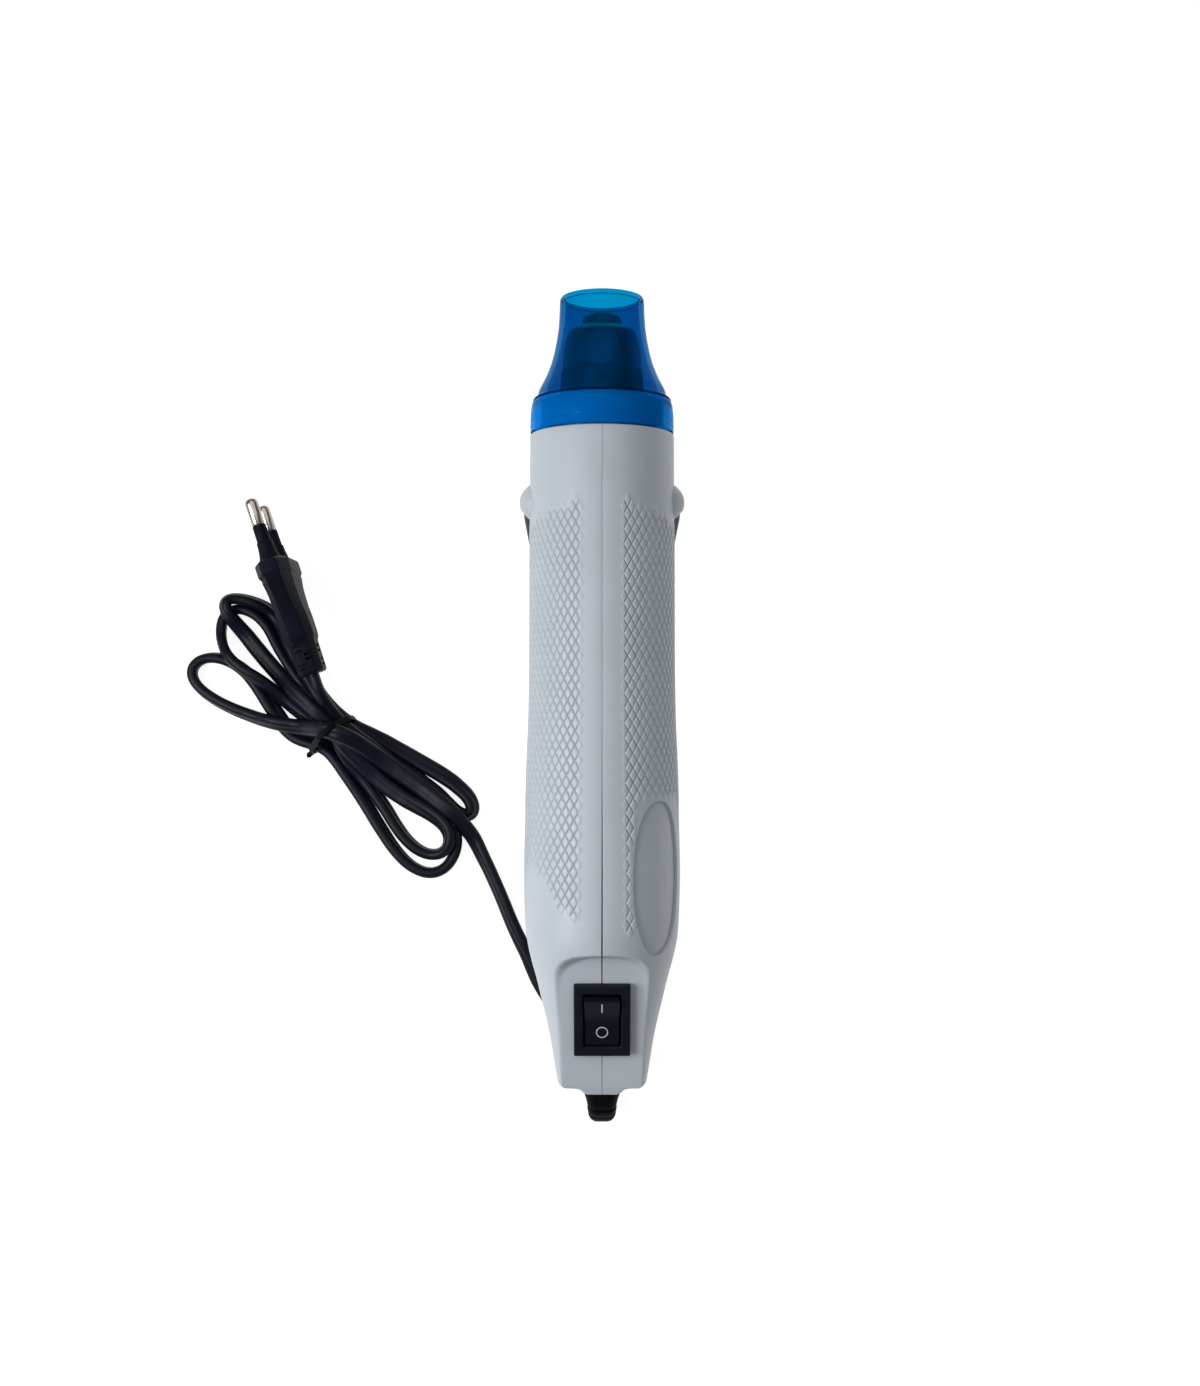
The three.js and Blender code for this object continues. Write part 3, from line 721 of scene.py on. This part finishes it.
SLOT_OF = {s["node"]: s["material_slot"] for s in frame["record"]["subparts"]}
SLOT_FINISH = {
    "shell_plastic": GREY, "guard_plastic": BLUE, "nozzle_steel": NOZZLE, "steel": STEEL, "black_wire": WIRE, "black_plastic": BLACK,
    "cord_rubber": CORD, "mica": MICA, "resistance_wire": NICHROME, "brass": BRASS, "copper_winding": COPPER, "ferrite": FERRITE,
    "board": BOARD, "lead_sleeve_red": RED, "lead_sleeve_brown": BROWN, "ceramic": CERAMIC,
}
for node, obj in frame["nodes"].items():
    dress(obj, SLOT_FINISH[SLOT_OF[node]])


def piece(obj, material, body, slot, *nodes):
    dress(obj, material)
    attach(obj, body)
    if nodes:
        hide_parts(*nodes)
    return obj


# ---------------------------------------------------------------- shells, guard, nozzle
piece(build_shell(False), GREY, "tool", "shell_plastic", "left_shell")
piece(build_shell(True), GREY, "tool", "shell_plastic", "right_shell")

skirt = [
    (20.0, 72.5), (20.05, 73.6), (19.9, 73.75), (19.9, 74.0), (20.05, 74.15), (20.05, 74.6), (19.9, 74.75), (19.9, 75.0), (20.02, 75.15),
    (19.95, 78.0), (19.75, 79.9), (19.35, 81.2), (19.02, 81.68), (17.42, 81.68), (17.65, 81.2), (17.65, 72.9), (17.9, 72.5),
]
cone = [
    (18.92, 81.78), (18.7, 82.1), (18.25, 82.5), (18.1, 82.9), (17.75, 84.2), (16.9, 85.9), (15.75, 88.1), (14.4, 91.4),
    (13.45, 94.7), (12.75, 98.1), (12.2, 101.7), (11.95, 105.2), (11.85, 108.4), (11.75, 109.7), (11.45, 110.35), (11.0, 110.5), (10.55, 110.3), (10.3, 109.6),
    (10.35, 106), (10.7, 102.5), (11.35, 98.3), (12.05, 94.9), (13.0, 91.6), (14.2, 88.2), (15.4, 85.7), (16.3, 83.4), (17.2, 81.9), (17.3, 81.78),
]
v, f = lathe(cone, 128)
v2, f2 = lathe(skirt, 128)
f = list(f) + [tuple(i + len(v) for i in face) for face in f2]
shield = piece(make("nozzle_guard", list(v) + list(v2), f, smooth=55), BLUE, "tool", "guard_plastic", "nozzle_shield")
shield.data.materials.append(BAND)  # the thicker skirt is cloudier
to_tool = TOOL.inverted()
for poly in shield.data.polygons:
    if (to_tool @ poly.center).y < 81.73 * MM:
        poly.material_index = 1
# thin dark rings at the join of skirt and cone and at the mouth rim: painted shade for the dark lines that refraction
# and the gaps show there
for r, y, t in ((19.2, 81.45, 0.17), (18.95, 81.95, 0.1), (10.38, 109.3, 0.09)):
    line = [(r + t * math.cos(a), y + t * math.sin(a)) for a in np.linspace(0, 2 * math.pi, 10, endpoint=False)]
    piece(make("guard_painted_shade_line", *lathe(line, 128)), PAINTED_SHADE_BLUE, "tool", "guard_plastic")

nozzle = fillet(
    [(4.95, 105.4, 0.12), (5.25, 104.8, 0.5), (5.5, 102.5, 0.7), (9.5, 101.0, 3.0), (10.6, 96.5, 3), (11.05, 90.6, 2), (11.1, 89.9, 0.4), (11.4, 89.6, 0.3), (11.7, 85.2, 0.6), (11.2, 78.6, 0.3), (14.5, 78.6, 0.3), (14.5, 77.0, 0.3), (11.2, 77.0, 0.2), (11.2, 60, 0.1),
     (10.4, 60, 0.1), (10.5, 84.5, 1), (10.0, 89, 1), (9.4, 97, 1), (8.6, 100.4, 1.2), (4.6, 101.7, 0.7), (4.6, 105.4, 0.12)], 0.3)
bell = piece(make("steel_nozzle", *lathe(nozzle, 96), smooth=40), NOZZLE, "tool", "nozzle_steel", "hot_air_nozzle")
bell.data.materials.append(DULL)  # the ring at the foot of the bell is darker and rougher
for poly in bell.data.polygons:
    if (to_tool @ poly.center).y < 89.7 * MM:
        poly.material_index = 1

# ---------------------------------------------------------------- switch
case = make("switch_case", *box(15.4, 21, 2, 0, 0, 1.3), place=PAD)
carve(case, box(12.8, 19, 13.8, 0, 0, -6.6), "UNION", PAD)
carve(case, box(10.3, 15.6, 13, 0, 0, -4), "DIFFERENCE", PAD)
bevel(case, 0.42, 4)
piece(case, BLACK, "tool", "black_plastic", "switch_housing")

REST_TIP = math.radians(10.5)
ROCK = PAD @ Matrix.Rotation(REST_TIP, 4, "X")
top = []
for k in range(25):
    t = -7.2 + 14.4 * k / 24
    top.append((t, 1.6 + 1.3 * (math.sqrt((t / 7.2) ** 2 + 0.012) - 0.11) / (math.sqrt(1.012) - 0.11)))
line = [(-7.2, 0.2), (-3.6, -4.4), (3.6, -4.4), (7.2, 0.2)] + top[::-1]
rocker = make("rocker", *prism(line, -4.8, 4.8, "x"), place=ROCK)
bevel(rocker, 0.38, 4, 30)
piece(rocker, ROCKER, "rocker", "black_plastic", "switch_rocker")


def on_rocker(t):
    """Frame on the rocker's face, t towards the nozzle."""
    slope = math.atan2(1.3, 7.2) * (1 if t > 0 else -1)
    return ROCK @ Matrix.Translation((0, t * MM, (1.6 + 1.3 * abs(t) / 7.2 - 0.06) * MM)) @ Matrix.Rotation(slope, 4, "X")


bar = fillet([(-0.19, -1.6, 0.12), (0.19, -1.6, 0.12), (0.19, 1.6, 0.12), (-0.19, 1.6, 0.12)], 0.12)
piece(make("mark_on", *prism(bar, -0.1, 0.09), place=on_rocker(4.95)), MARK, "rocker", "black_plastic")
ring = [(1.36, -0.1), (1.66, -0.1), (1.66, 0.06), (1.62, 0.09), (1.40, 0.09), (1.36, 0.06)]
v, f = lathe(ring, 48)
v = [(x, -z, y) for x, y, z in v]
piece(make("mark_off", v, f, place=on_rocker(-3.3)), MARK, "rocker", "black_plastic")


# ---------------------------------------------------------------- stand
def bends(corners, r, steps=10):
    v = [np.array(c, float) for c in corners]
    out = [v[0]]
    for i in range(1, len(v) - 1):
        a, b = v[i - 1] - v[i], v[i + 1] - v[i]
        a, b = a / np.linalg.norm(a), b / np.linalg.norm(b)
        half = math.acos(np.clip(a @ b, -1, 1)) / 2
        cut = r / math.tan(half)
        centre = v[i] + (a + b) / np.linalg.norm(a + b) * r / math.sin(half)
        p, q = v[i] + a * cut - centre, v[i] + b * cut - centre
        full = math.pi - 2 * half
        for k in range(steps + 1):
            t = k / steps
            out.append(centre + (math.sin((1 - t) * full) * p + math.sin(t * full) * q) / math.sin(full))
    out.append(v[-1])
    return out


LEAN, PIVOT_V, PIVOT_U = math.radians(20), 53.2, 21.2
leg = (AXIS_Z + PIVOT_V * math.sin(TILT) - 1.0) / math.cos(TILT - LEAN)
foot_v, foot_w = PIVOT_V - leg * math.sin(LEAN), -leg * math.cos(LEAN)
knee_v, knee_w = PIVOT_V - 10 * math.sin(LEAN), -10 * math.cos(LEAN)
half = 20.3
path = bends(
    [(-16.6, PIVOT_V, 0), (-PIVOT_U, PIVOT_V, 0), (-PIVOT_U, knee_v, knee_w), (-half, foot_v, foot_w), (half, foot_v, foot_w), (PIVOT_U, knee_v, knee_w), (PIVOT_U, PIVOT_V, 0), (16.6, PIVOT_V, 0)], 2.0)
piece(make("wire_stand", *sweep(path, circle(1.0, 20)), smooth=60), WIRE, "stand", "black_wire", "stand_wire")

# ---------------------------------------------------------------- cord boot
def rounded(w, t, n=8, waist=0.0):
    """Flat section, round at both sides; waist pulls the middle in, as between two cores."""
    r, h = t / 2, w / 2 - t / 2
    pts = []
    for k in range(n + 1):
        a = -math.pi / 2 + math.pi * k / n
        pts.append((h + r * math.cos(a), r * math.sin(a)))
    for k in range(1, 4):
        x = h - 2 * h * k / 4
        pts.append((x, r - waist * max(0, 1 - abs(x) / (0.5 * h + 1e-6))))
    for k in range(n + 1):
        a = math.pi / 2 + math.pi * k / n
        pts.append((-h + r * math.cos(a), r * math.sin(a)))
    for k in range(1, 4):
        x = -h + 2 * h * k / 4
        pts.append((x, -r + waist * max(0, 1 - abs(x) / (0.5 * h + 1e-6))))
    return pts


BEND = 7.3
path, sections = [], []
for k in range(91):
    s = 22.35 * k / 90
    if s < 12.8:
        p = (0, -99.2 - s, 0)
    else:
        a = (s - 12.8) / BEND
        p = (0, -112 - BEND * math.sin(a), -BEND + BEND * math.cos(a))
    out = max(0.0, s - 12.3) / 10.0
    w, t = 8.7 - 1.4 * out, 5.8 - 1.0 * out
    if 7.6 >= s >= 5.6:
        w, t = 12.8, 5.8
    if s > 12.35:  # collar that meets the body
        flare = max(0.0, 1 - (s - 12.35) / 3.4) ** 2
        w, t = w + 0.3 + 1.7 * flare, t + 1.6 * flare
    groove = 0.0
    for c in (16.2, 18.8):
        groove = max(groove, math.exp(-(((s - c) / 0.42) ** 2)))
    w, t = w - 0.6 * groove, t - 0.6 * groove
    if s > 21.7:
        w, t = w - 0.6 * (s - 21.7) / 0.65, t - 0.6 * (s - 21.7) / 0.65
    path.append(p)
    sections.append(rounded(w, t, 10))
piece(make("cord_boot", *sweep(path, sections, [(1, 0, 0)] * len(path)), smooth=50), BOOT, "tool", "cord_rubber", "strain_relief")

# ---------------------------------------------------------------- cord, tie and plug
ROUTE = [  # tenths of a millimetre along the cord, and its roll in degrees
    (0,-1171,128,0), (0,-1179,106,0), (0,-1180,82,0), (0,-1173,59,0), (0,-1159,40,0), (0,-1139,26,0), (0,-1116,19,0), (-4,-1093,18,0),
    (-11,-1070,18,0), (-19,-1047,17,0), (-30,-1026,17,0), (-43,-1005,17,0), (-58,-987,17,0), (-74,-969,17,1), (-89,-950,17,2), (-103,-931,17,5),
    (-118,-912,17,8), (-132,-892,17,12), (-147,-873,18,16), (-161,-853,18,21), (-174,-833,19,26), (-186,-813,19,31), (-196,-791,19,36),
    (-206,-769,20,40), (-215,-747,20,44), (-226,-725,24,47), (-237,-704,25,50), (-248,-682,25,52), (-258,-661,25,54), (-268,-638,25,56),
    (-277,-616,25,57), (-286,-594,26,57), (-295,-572,26,58), (-305,-550,26,58), (-315,-528,25,57), (-325,-506,25,56), (-335,-485,25,54),
    (-346,-464,25,51), (-356,-443,25,48), (-366,-423,24,44), (-376,-404,27,39), (-389,-385,35,34), (-403,-368,47,29), (-418,-350,59,25),
    (-435,-333,66,21), (-453,-316,68,17), (-472,-301,66,15), (-491,-286,62,12), (-510,-272,60,11), (-529,-258,56,11), (-549,-244,57,11),
    (-569,-230,56,12), (-589,-216,58,12), (-607,-202,58,13), (-626,-189,62,13), (-645,-174,68,14), (-664,-160,80,15), (-684,-146,95,16),
    (-703,-132,115,17), (-724,-120,131,18), (-746,-109,141,20), (-770,-100,142,22), (-794,-93,133,25), (-818,-89,119,28), (-840,-86,96,33),
    (-863,-83,76,37), (-885,-80,63,42), (-908,-77,57,46), (-931,-73,57,51), (-955,-69,56,55), (-978,-63,49,59), (-1000,-57,38,62), (-1021,-50,30,65),
    (-1043,-42,26,68), (-1065,-34,26,70), (-1087,-25,27,73), (-1109,-15,27,75), (-1131,-4,27,78), (-1152,9,27,80), (-1173,23,27,82),
    (-1191,39,27,83), (-1206,57,27,84), (-1214,77,27,85), (-1213,97,27,84), (-1201,114,27,83), (-1183,125,27,81), (-1160,130,27,79),
    (-1136,128,27,76), (-1112,122,26,73), (-1090,112,26,70), (-1070,99,26,67), (-1052,84,26,63), (-1035,66,26,58), (-1020,47,25,53),
    (-1006,27,25,48), (-993,7,24,42), (-980,-13,23,37), (-966,-32,22,31), (-953,-52,20,27), (-939,-72,20,25), (-923,-89,20,24), (-905,-103,20,26),
    (-883,-113,21,29), (-861,-120,22,34), (-838,-127,23,39), (-818,-137,25,44), (-800,-151,25,49), (-785,-169,26,53), (-771,-188,26,56),
    (-758,-208,26,59), (-744,-228,26,60), (-730,-248,26,60), (-716,-268,26,60), (-703,-288,26,61), (-690,-309,26,62), (-677,-329,26,63),
    (-665,-350,26,64), (-652,-370,26,66), (-639,-390,26,68), (-626,-410,26,70), (-612,-430,27,72), (-596,-449,27,75), (-580,-467,27,77),
    (-561,-483,27,80), (-541,-495,27,82), (-519,-504,27,83), (-496,-506,27,84), (-474,-500,27,83), (-455,-487,27,82), (-441,-469,27,78),
    (-431,-447,27,73), (-427,-423,27,67), (-428,-399,26,60), (-436,-377,25,52), (-449,-357,23,45), (-465,-339,22,37), (-484,-324,21,31),
    (-504,-310,20,25), (-524,-295,20,21), (-544,-283,20,18), (-564,-269,20,17), (-584,-256,20,16), (-604,-242,20,17), (-625,-230,20,18),
    (-644,-216,20,20), (-664,-202,20,23), (-682,-187,21,26), (-699,-170,22,31), (-717,-154,22,35), (-736,-139,23,40), (-756,-126,24,45),
    (-778,-114,25,49), (-799,-103,26,53), (-819,-90,26,56), (-838,-76,26,58), (-858,-62,26,59), (-877,-48,26,60), (-896,-33,26,61), (-915,-18,26,61),
    (-933,-3,27,62), (-951,13,33,63), (-968,30,45,64), (-987,45,56,65), (-1006,58,65,66), (-1026,71,70,67), (-1046,82,72,69), (-1064,95,72,71),
    (-1081,109,71,72), (-1097,126,68,74), (-1110,144,59,76), (-1120,164,45,78), (-1128,186,34,80), (-1131,209,28,82), (-1129,233,27,83),
    (-1121,253,27,83), (-1105,268,27,82), (-1085,275,27,78), (-1062,274,27,72), (-1041,267,27,66), (-1021,256,26,60), (-1004,241,24,53),
    (-989,224,22,48), (-977,204,22,43), (-966,183,22,39), (-955,162,22,37), (-942,142,23,37), (-930,121,23,39), (-916,101,24,41), (-903,82,24,44),
    (-889,62,24,47), (-875,42,25,50), (-861,23,25,52), (-848,3,25,54), (-835,-17,26,56), (-821,-37,26,58), (-807,-56,31,59), (-792,-74,45,59),
    (-780,-95,56,60), (-770,-117,65,60), (-762,-140,60,60), (-751,-161,55,60), (-738,-180,43,60), (-724,-198,35,60), (-709,-217,28,60),
    (-695,-235,26,60), (-680,-254,26,60), (-666,-273,26,61), (-652,-293,26,62), (-638,-313,26,63), (-625,-333,26,64), (-613,-354,26,66),
    (-599,-374,26,68), (-585,-394,26,71), (-569,-412,27,74), (-551,-429,27,77), (-531,-442,27,79), (-509,-451,27,81), (-486,-452,31,80),
    (-466,-446,39,78), (-451,-431,52,74), (-444,-412,62,68), (-445,-391,65,61), (-454,-372,63,53), (-469,-355,58,45), (-488,-340,55,37),
    (-508,-327,52,30), (-529,-316,51,24), (-550,-304,49,20), (-572,-293,49,18), (-592,-279,47,16), (-612,-267,48,17), (-631,-252,48,17),
    (-650,-237,50,19), (-668,-220,52,21), (-685,-203,59,23), (-702,-185,67,26), (-718,-168,81,27), (-734,-150,89,28), (-748,-131,104,29),
    (-763,-113,102,28), (-779,-95,100,26), (-796,-77,87,24), (-814,-60,76,21), (-831,-43,66,18), (-849,-27,61,14), (-866,-11,57,12), (-884,5,52,9),
    (-902,21,46,8), (-919,37,37,7), (-936,54,27,6), (-952,72,20,6), (-968,90,18,6), (-984,108,18,7), (-1000,126,18,8), (-1015,144,18,11),
    (-1031,163,19,14), (-1046,182,19,19), (-1061,201,24,26), (-1077,220,36,35), (-1092,239,52,44), (-1105,259,66,52), (-1112,278,70,59),
    (-1110,293,64,65), (-1097,301,58,69), (-1076,302,54,71), (-1051,298,52,72), (-1026,290,48,70), (-1002,280,38,66), (-981,266,26,62),
    (-964,247,25,59), (-950,226,27,55), (-939,204,36,53), (-928,182,44,51), (-918,160,48,51), (-906,139,52,50), (-894,118,53,50), (-881,98,54,50),
    (-868,78,54,50), (-855,58,55,50), (-843,37,59,50), (-830,17,60,50), (-816,-1,57,50), (-801,-19,49,50), (-785,-36,37,49), (-768,-51,27,47),
    (-750,-65,25,45), (-731,-77,24,43), (-710,-88,24,39), (-689,-97,23,36), (-668,-108,22,33), (-647,-118,21,29), (-626,-130,21,25),
    (-605,-142,20,22), (-584,-154,20,20), (-564,-165,20,18), (-543,-177,19,17), (-522,-189,20,17), (-501,-201,20,18), (-480,-213,20,20),
    (-460,-226,20,25), (-439,-240,21,31), (-420,-256,22,38), (-401,-273,23,46), (-387,-291,25,52), (-379,-311,26,57), (-381,-328,27,60),
    (-392,-337,27,62), (-409,-336,26,62), (-427,-326,28,60), (-445,-309,32,56), (-463,-292,30,51), (-481,-275,28,46), (-500,-261,24,42),
    (-519,-247,23,40), (-538,-233,23,38), (-558,-220,23,38), (-578,-207,23,38), (-598,-195,23,39), (-618,-182,25,40), (-637,-168,29,42),
    (-656,-155,37,45), (-675,-140,45,48), (-693,-126,53,52), (-712,-111,57,56), (-730,-97,62,60), (-748,-81,65,65), (-764,-64,70,70),
    (-778,-46,79,75), (-792,-27,92,79), (-803,-7,108,82), (-813,12,124,85), (-821,31,137,87), (-828,53,140,88), (-836,76,142,89),
]
pts = np.array([p[:3] for p in ROUTE], float) / 10
roll = np.radians([p[3] for p in ROUTE])
# uniform cubic B-spline on the route's points
ctrl = np.vstack([2 * pts[0] - pts[1], pts, 2 * pts[-1] - pts[-2]])
rolls = np.r_[roll[0], roll, roll[-1]]
line, turn_at = [], []
for i in range(1, len(ctrl) - 2):
    for k in range(3):
        t = k / 3
        w = np.array([(1 - t) ** 3, 3 * t**3 - 6 * t**2 + 4, -3 * t**3 + 3 * t**2 + 3 * t + 1, t**3]) / 6
        line.append(w @ ctrl[i - 1 : i + 3])
        turn_at.append(w @ rolls[i - 1 : i + 3])
line, turn_at = np.array(line), np.array(turn_at)
T = np.gradient(line, axis=0)
T /= np.linalg.norm(T, axis=1)[:, None]
sides, flat = [], np.array([-1.0, 0, 0])
for i in range(len(line)):
    h = np.array([T[i][1], -T[i][0], 0.0])
    size = np.linalg.norm(h)
    if size > 0.25:
        h /= size
        flat = h if h @ flat >= 0 else -h
    across = flat - T[i] * (flat @ T[i])
    across /= np.linalg.norm(across)
    up = np.cross(across, T[i])
    sides.append(across * math.cos(turn_at[i]) + up * math.sin(turn_at[i]))
section = rounded(5.0, 3.0, 8, 0.2)
cord = make("mains_cord", *sweep(line, section, sides), place=TABLE, smooth=50)
piece(cord, CORD, "tool", "cord_rubber", "cord_lead", "cord_hank", "cord_plug_lead")

# tie: a thin band round the waist of the hank, with its two twisted ends
c, across, along = np.array([-78.1, -9.1]), np.array([0.777, 0.630]), np.array([0.630, -0.777])
q = line[:, :2] - c
near = (np.abs(q @ along) < 2.2) & (np.abs(q @ across) < 12)
lo, hi, top_z = (q @ across)[near].min() - 1.9, (q @ across)[near].max() + 1.7, line[near, 2].max() + 2.0
loop = fillet([(lo, 0.45, 2.5), (hi, 0.45, 2.5), (hi - 0.6, top_z * 0.62, 4), (0.5 * (lo + hi) + 2.6, top_z, 3), (0.5 * (lo + hi) - 2.2, top_z, 3), (lo + 0.4, top_z * 0.42, 4)], 3, steps=8)
dense = []
for i in range(len(loop)):
    a, b = np.array(loop[i]), np.array(loop[(i + 1) % len(loop)])
    for k in range(3):
        dense.append(a + (b - a) * k / 3)
band_path = [(c[0] + across[0] * x, c[1] + across[1] * x, z) for x, z in dense]
band = sweep(band_path, rounded(1.7, 0.7, 5), [(along[0], along[1], 0)] * len(band_path), closed=True)
ends = []
for sgn in (-1, 1):
    tail_path = []
    for k in range(24):
        s = k / 23
        a = 1.5 * s * math.pi
        base = np.array([c[0] + across[0] * (lo - 0.2 - 1.7 * s), c[1] + across[1] * (lo - 0.2 - 1.7 * s), 2.2 - 0.9 * s])
        off = 0.55 * sgn * (1 - 0.3 * s)
        tail_path.append(base + off * (math.cos(a) * np.array([along[0], along[1], 0]) + math.sin(a) * np.array([0, 0, 1.0])))
    ends.append(sweep(tail_path, circle(0.42, 8)))
tie = piece(make("hank_tie", *join(band, *ends), place=TABLE, smooth=60), BOOT, "tool", "cord_rubber", "cord_tie")

PLUG_AT = TABLE @ Matrix.Translation((-94 * MM, 38.9 * MM, 18.0 * MM)) @ Matrix.Rotation(math.radians(18.4), 4, "Z") @ Matrix.Rotation(math.radians(6.5), 4, "X")
wide = hermite([0, 1.0, 3.8, 6.2, 10, 14, 19, 23.5, 25, 29, 34], [15.0, 16.3, 16.5, 14.9, 12.6, 10.9, 9.1, 8.0, 7.1, 6.8, 6.5])
thick = hermite([0, 1.0, 3.8, 6.2, 10, 14, 18, 21.5, 23.6, 24.8, 29, 34], [4.2, 4.85, 4.85, 4.4, 4.1, 4.1, 4.35, 4.4, 4.3, 3.85, 3.75, 3.7])
verts, faces, rings = [], [], []
for s in np.r_[0.0, 0.25, 0.6, 1.0, np.linspace(1.6, 33.2, 66), 33.6, 33.85, 34.0]:
    z, x = float(wide(s)), float(thick(s))
    edge = max(0.0, 1 - s / 1.0, (s - 33.2) / 0.8)
    z, x = z - 0.5 * edge**2, x - 0.5 * edge**2
    if 5.0 < s < 5.5:
        z, x = z - 0.25, x - 0.22
    cut, drop = 0.5 * x, 0.42 * z
    oct_line = fillet([(x, -z + drop), (x, z - drop), (x - cut, z), (-x + cut, z), (-x, z - drop), (-x, -z + drop), (-x + cut, -z), (x - cut, -z)], 0.7, steps=3)
    rings.append([len(verts) + k for k in range(len(oct_line))])
    verts += [(a, -s, b) for a, b in oct_line]
n = len(rings[0])
for a, b in zip(rings[:-1], rings[1:]):
    faces += [(a[k], a[(k + 1) % n], b[(k + 1) % n], b[k]) for k in range(n)]
faces += [tuple(rings[0][::-1]), tuple(rings[-1])]
plug = make("plug_shell", verts, faces, place=PLUG_AT, smooth=35)
slots = []
for sgn in (-1, 1):
    for s, xc, w in ((25.6, -1.5, 2.6), (27.1, -1.5, 2.6), (28.3, 1.7, 3.0), (29.7, 1.7, 3.0), (31.2, -1.6, 2.6), (32.4, -1.6, 2.6)):
        slots.append(box(w, 0.75, 2.2, sgn * xc, -s, sgn * 6.6))
    for s, zc, h in ((26.4, 0.6, 4.2), (28.0, 0.6, 4.2), (30.4, -0.6, 4.2), (32.0, -0.6, 4.2)):
        slots.append(box(1.6, 0.75, h, sgn * 3.9, -s, zc))
carve(plug, join(*slots), place=PLUG_AT, angle=35)
piece(plug, PLUG, "tool", "cord_rubber", "plug_body")
for i, z in ((1, 9.3), (2, -9.3)):
    pin = [(0, 0.35), (1.25, 0.35), (1.25, 10.1), (1.8, 10.2), (1.9, 10.35), (1.9, 16.4), (1.78, 17.1), (1.45, 17.6), (0.85, 17.92), (0, 18.0)]
    v, f = lathe(pin, 48, closed=False)
    o = make(f"pin_{i}", [(x, y, w + z) for x, y, w in v], f, place=PLUG_AT, smooth=45)
    piece(o, PIN, "tool", "steel", f"plug_pin_{i}")
    sleeve = [(1.5, -0.4), (3.3, -0.4), (2.9, 0.5), (2.6, 1.6), (2.35, 3.4), (2.25, 5.0), (2.2, 5.25), (1.98, 5.4), (1.95, 7.5), (1.93, 9.8), (1.83, 10.0), (1.5, 10.0)]
    v, f = lathe(sleeve, 48)
    o = make(f"sleeve_{i}", [(x, y, w + z) for x, y, w in v], f, place=PLUG_AT, smooth=45)
    piece(o, PLUG, "tool", "black_plastic", f"plug_sleeve_{i}")

# ---------------------------------------------------------------- screws
for i, y in enumerate(SCREWS):
    head = [(0, -8.6), (0.4, -8.6), (1.25, -6.9), (1.25, 6.9), (2.5, 6.9), (2.65, 7.05), (2.65, 7.6), (2.3, 8.4), (1.5, 8.85), (0, 9.0)]
    o = make(f"screw_{i + 1}", *turn(lathe(head, 40, closed=False), Matrix.Translation((0, y, SCREW_W)) @ TO_X), smooth=40)
    cross = join(box(1.7, 2.9, 0.62, 8.9, y, SCREW_W))
    carve(o, cross)
    carve(o, box(1.7, 0.62, 2.9, 8.9, y, SCREW_W))
    piece(o, STEEL, "tool", "steel", f"shell_screw_{i + 1}")

# ---------------------------------------------------------------- floor, light, camera
floor = make("floor", [(-3000, -3000, 0), (3000, -3000, 0), (3000, 3000, 0), (-3000, 3000, 0)], [(0, 1, 2, 3)], place=Matrix.Identity(4))
ground = Finish("floor_white", (0.3, 0.3, 0.3, 1), 0.9, Specular_IOR_Level=0.1, Emission_Color=(1, 1, 1, 1), Emission_Strength=0.88)
ground.tint(ground.noise(3, 2), 0.995, 1.005)
dress(floor, ground.m)

world = bpy.data.worlds.new("studio")
scene.world = world
world.use_nodes = True
world.node_tree.nodes["Background"].inputs["Color"].default_value = (0.95, 0.98, 1.0, 1)
world.node_tree.nodes["Background"].inputs["Strength"].default_value = 0.14


def lamp(name, at, aim, size, power, color=(1, 1, 1)):
    data = bpy.data.lights.new(name, "AREA")
    data.shape = "RECTANGLE"
    data.size, data.size_y = size
    data.energy = power
    data.color = color
    o = bpy.data.objects.new(name, data)
    o.location = at
    o.rotation_euler = (Vector(aim) - Vector(at)).to_track_quat("-Z", "Y").to_euler()
    scene.collection.objects.link(o)
    return o


lamp("key", (-0.29, -0.07, 0.28), (0, -0.05, 0.02), (0.22, 0.22), 1.46)
lamp("top", (0.06, 0.25, 0.85), (0, 0.03, 0.02), (1.1, 1.1), 3.7)

cam = bpy.data.cameras.new("camera")
cam.sensor_fit = "VERTICAL"
cam.sensor_height = 36.0
cam.lens = 36.0 * 1550 / 1386
cam.clip_start, cam.clip_end = 0.01, 20
camera = bpy.data.objects.new("camera", cam)
camera.location = (-0.56 * MM, (-41.597 + SHIFT_Y) * MM, 459.176 * MM)
camera.rotation_euler = (TILT, 0, 0)
scene.collection.objects.link(camera)
scene.camera = camera
scene.view_settings.view_transform = "Standard"
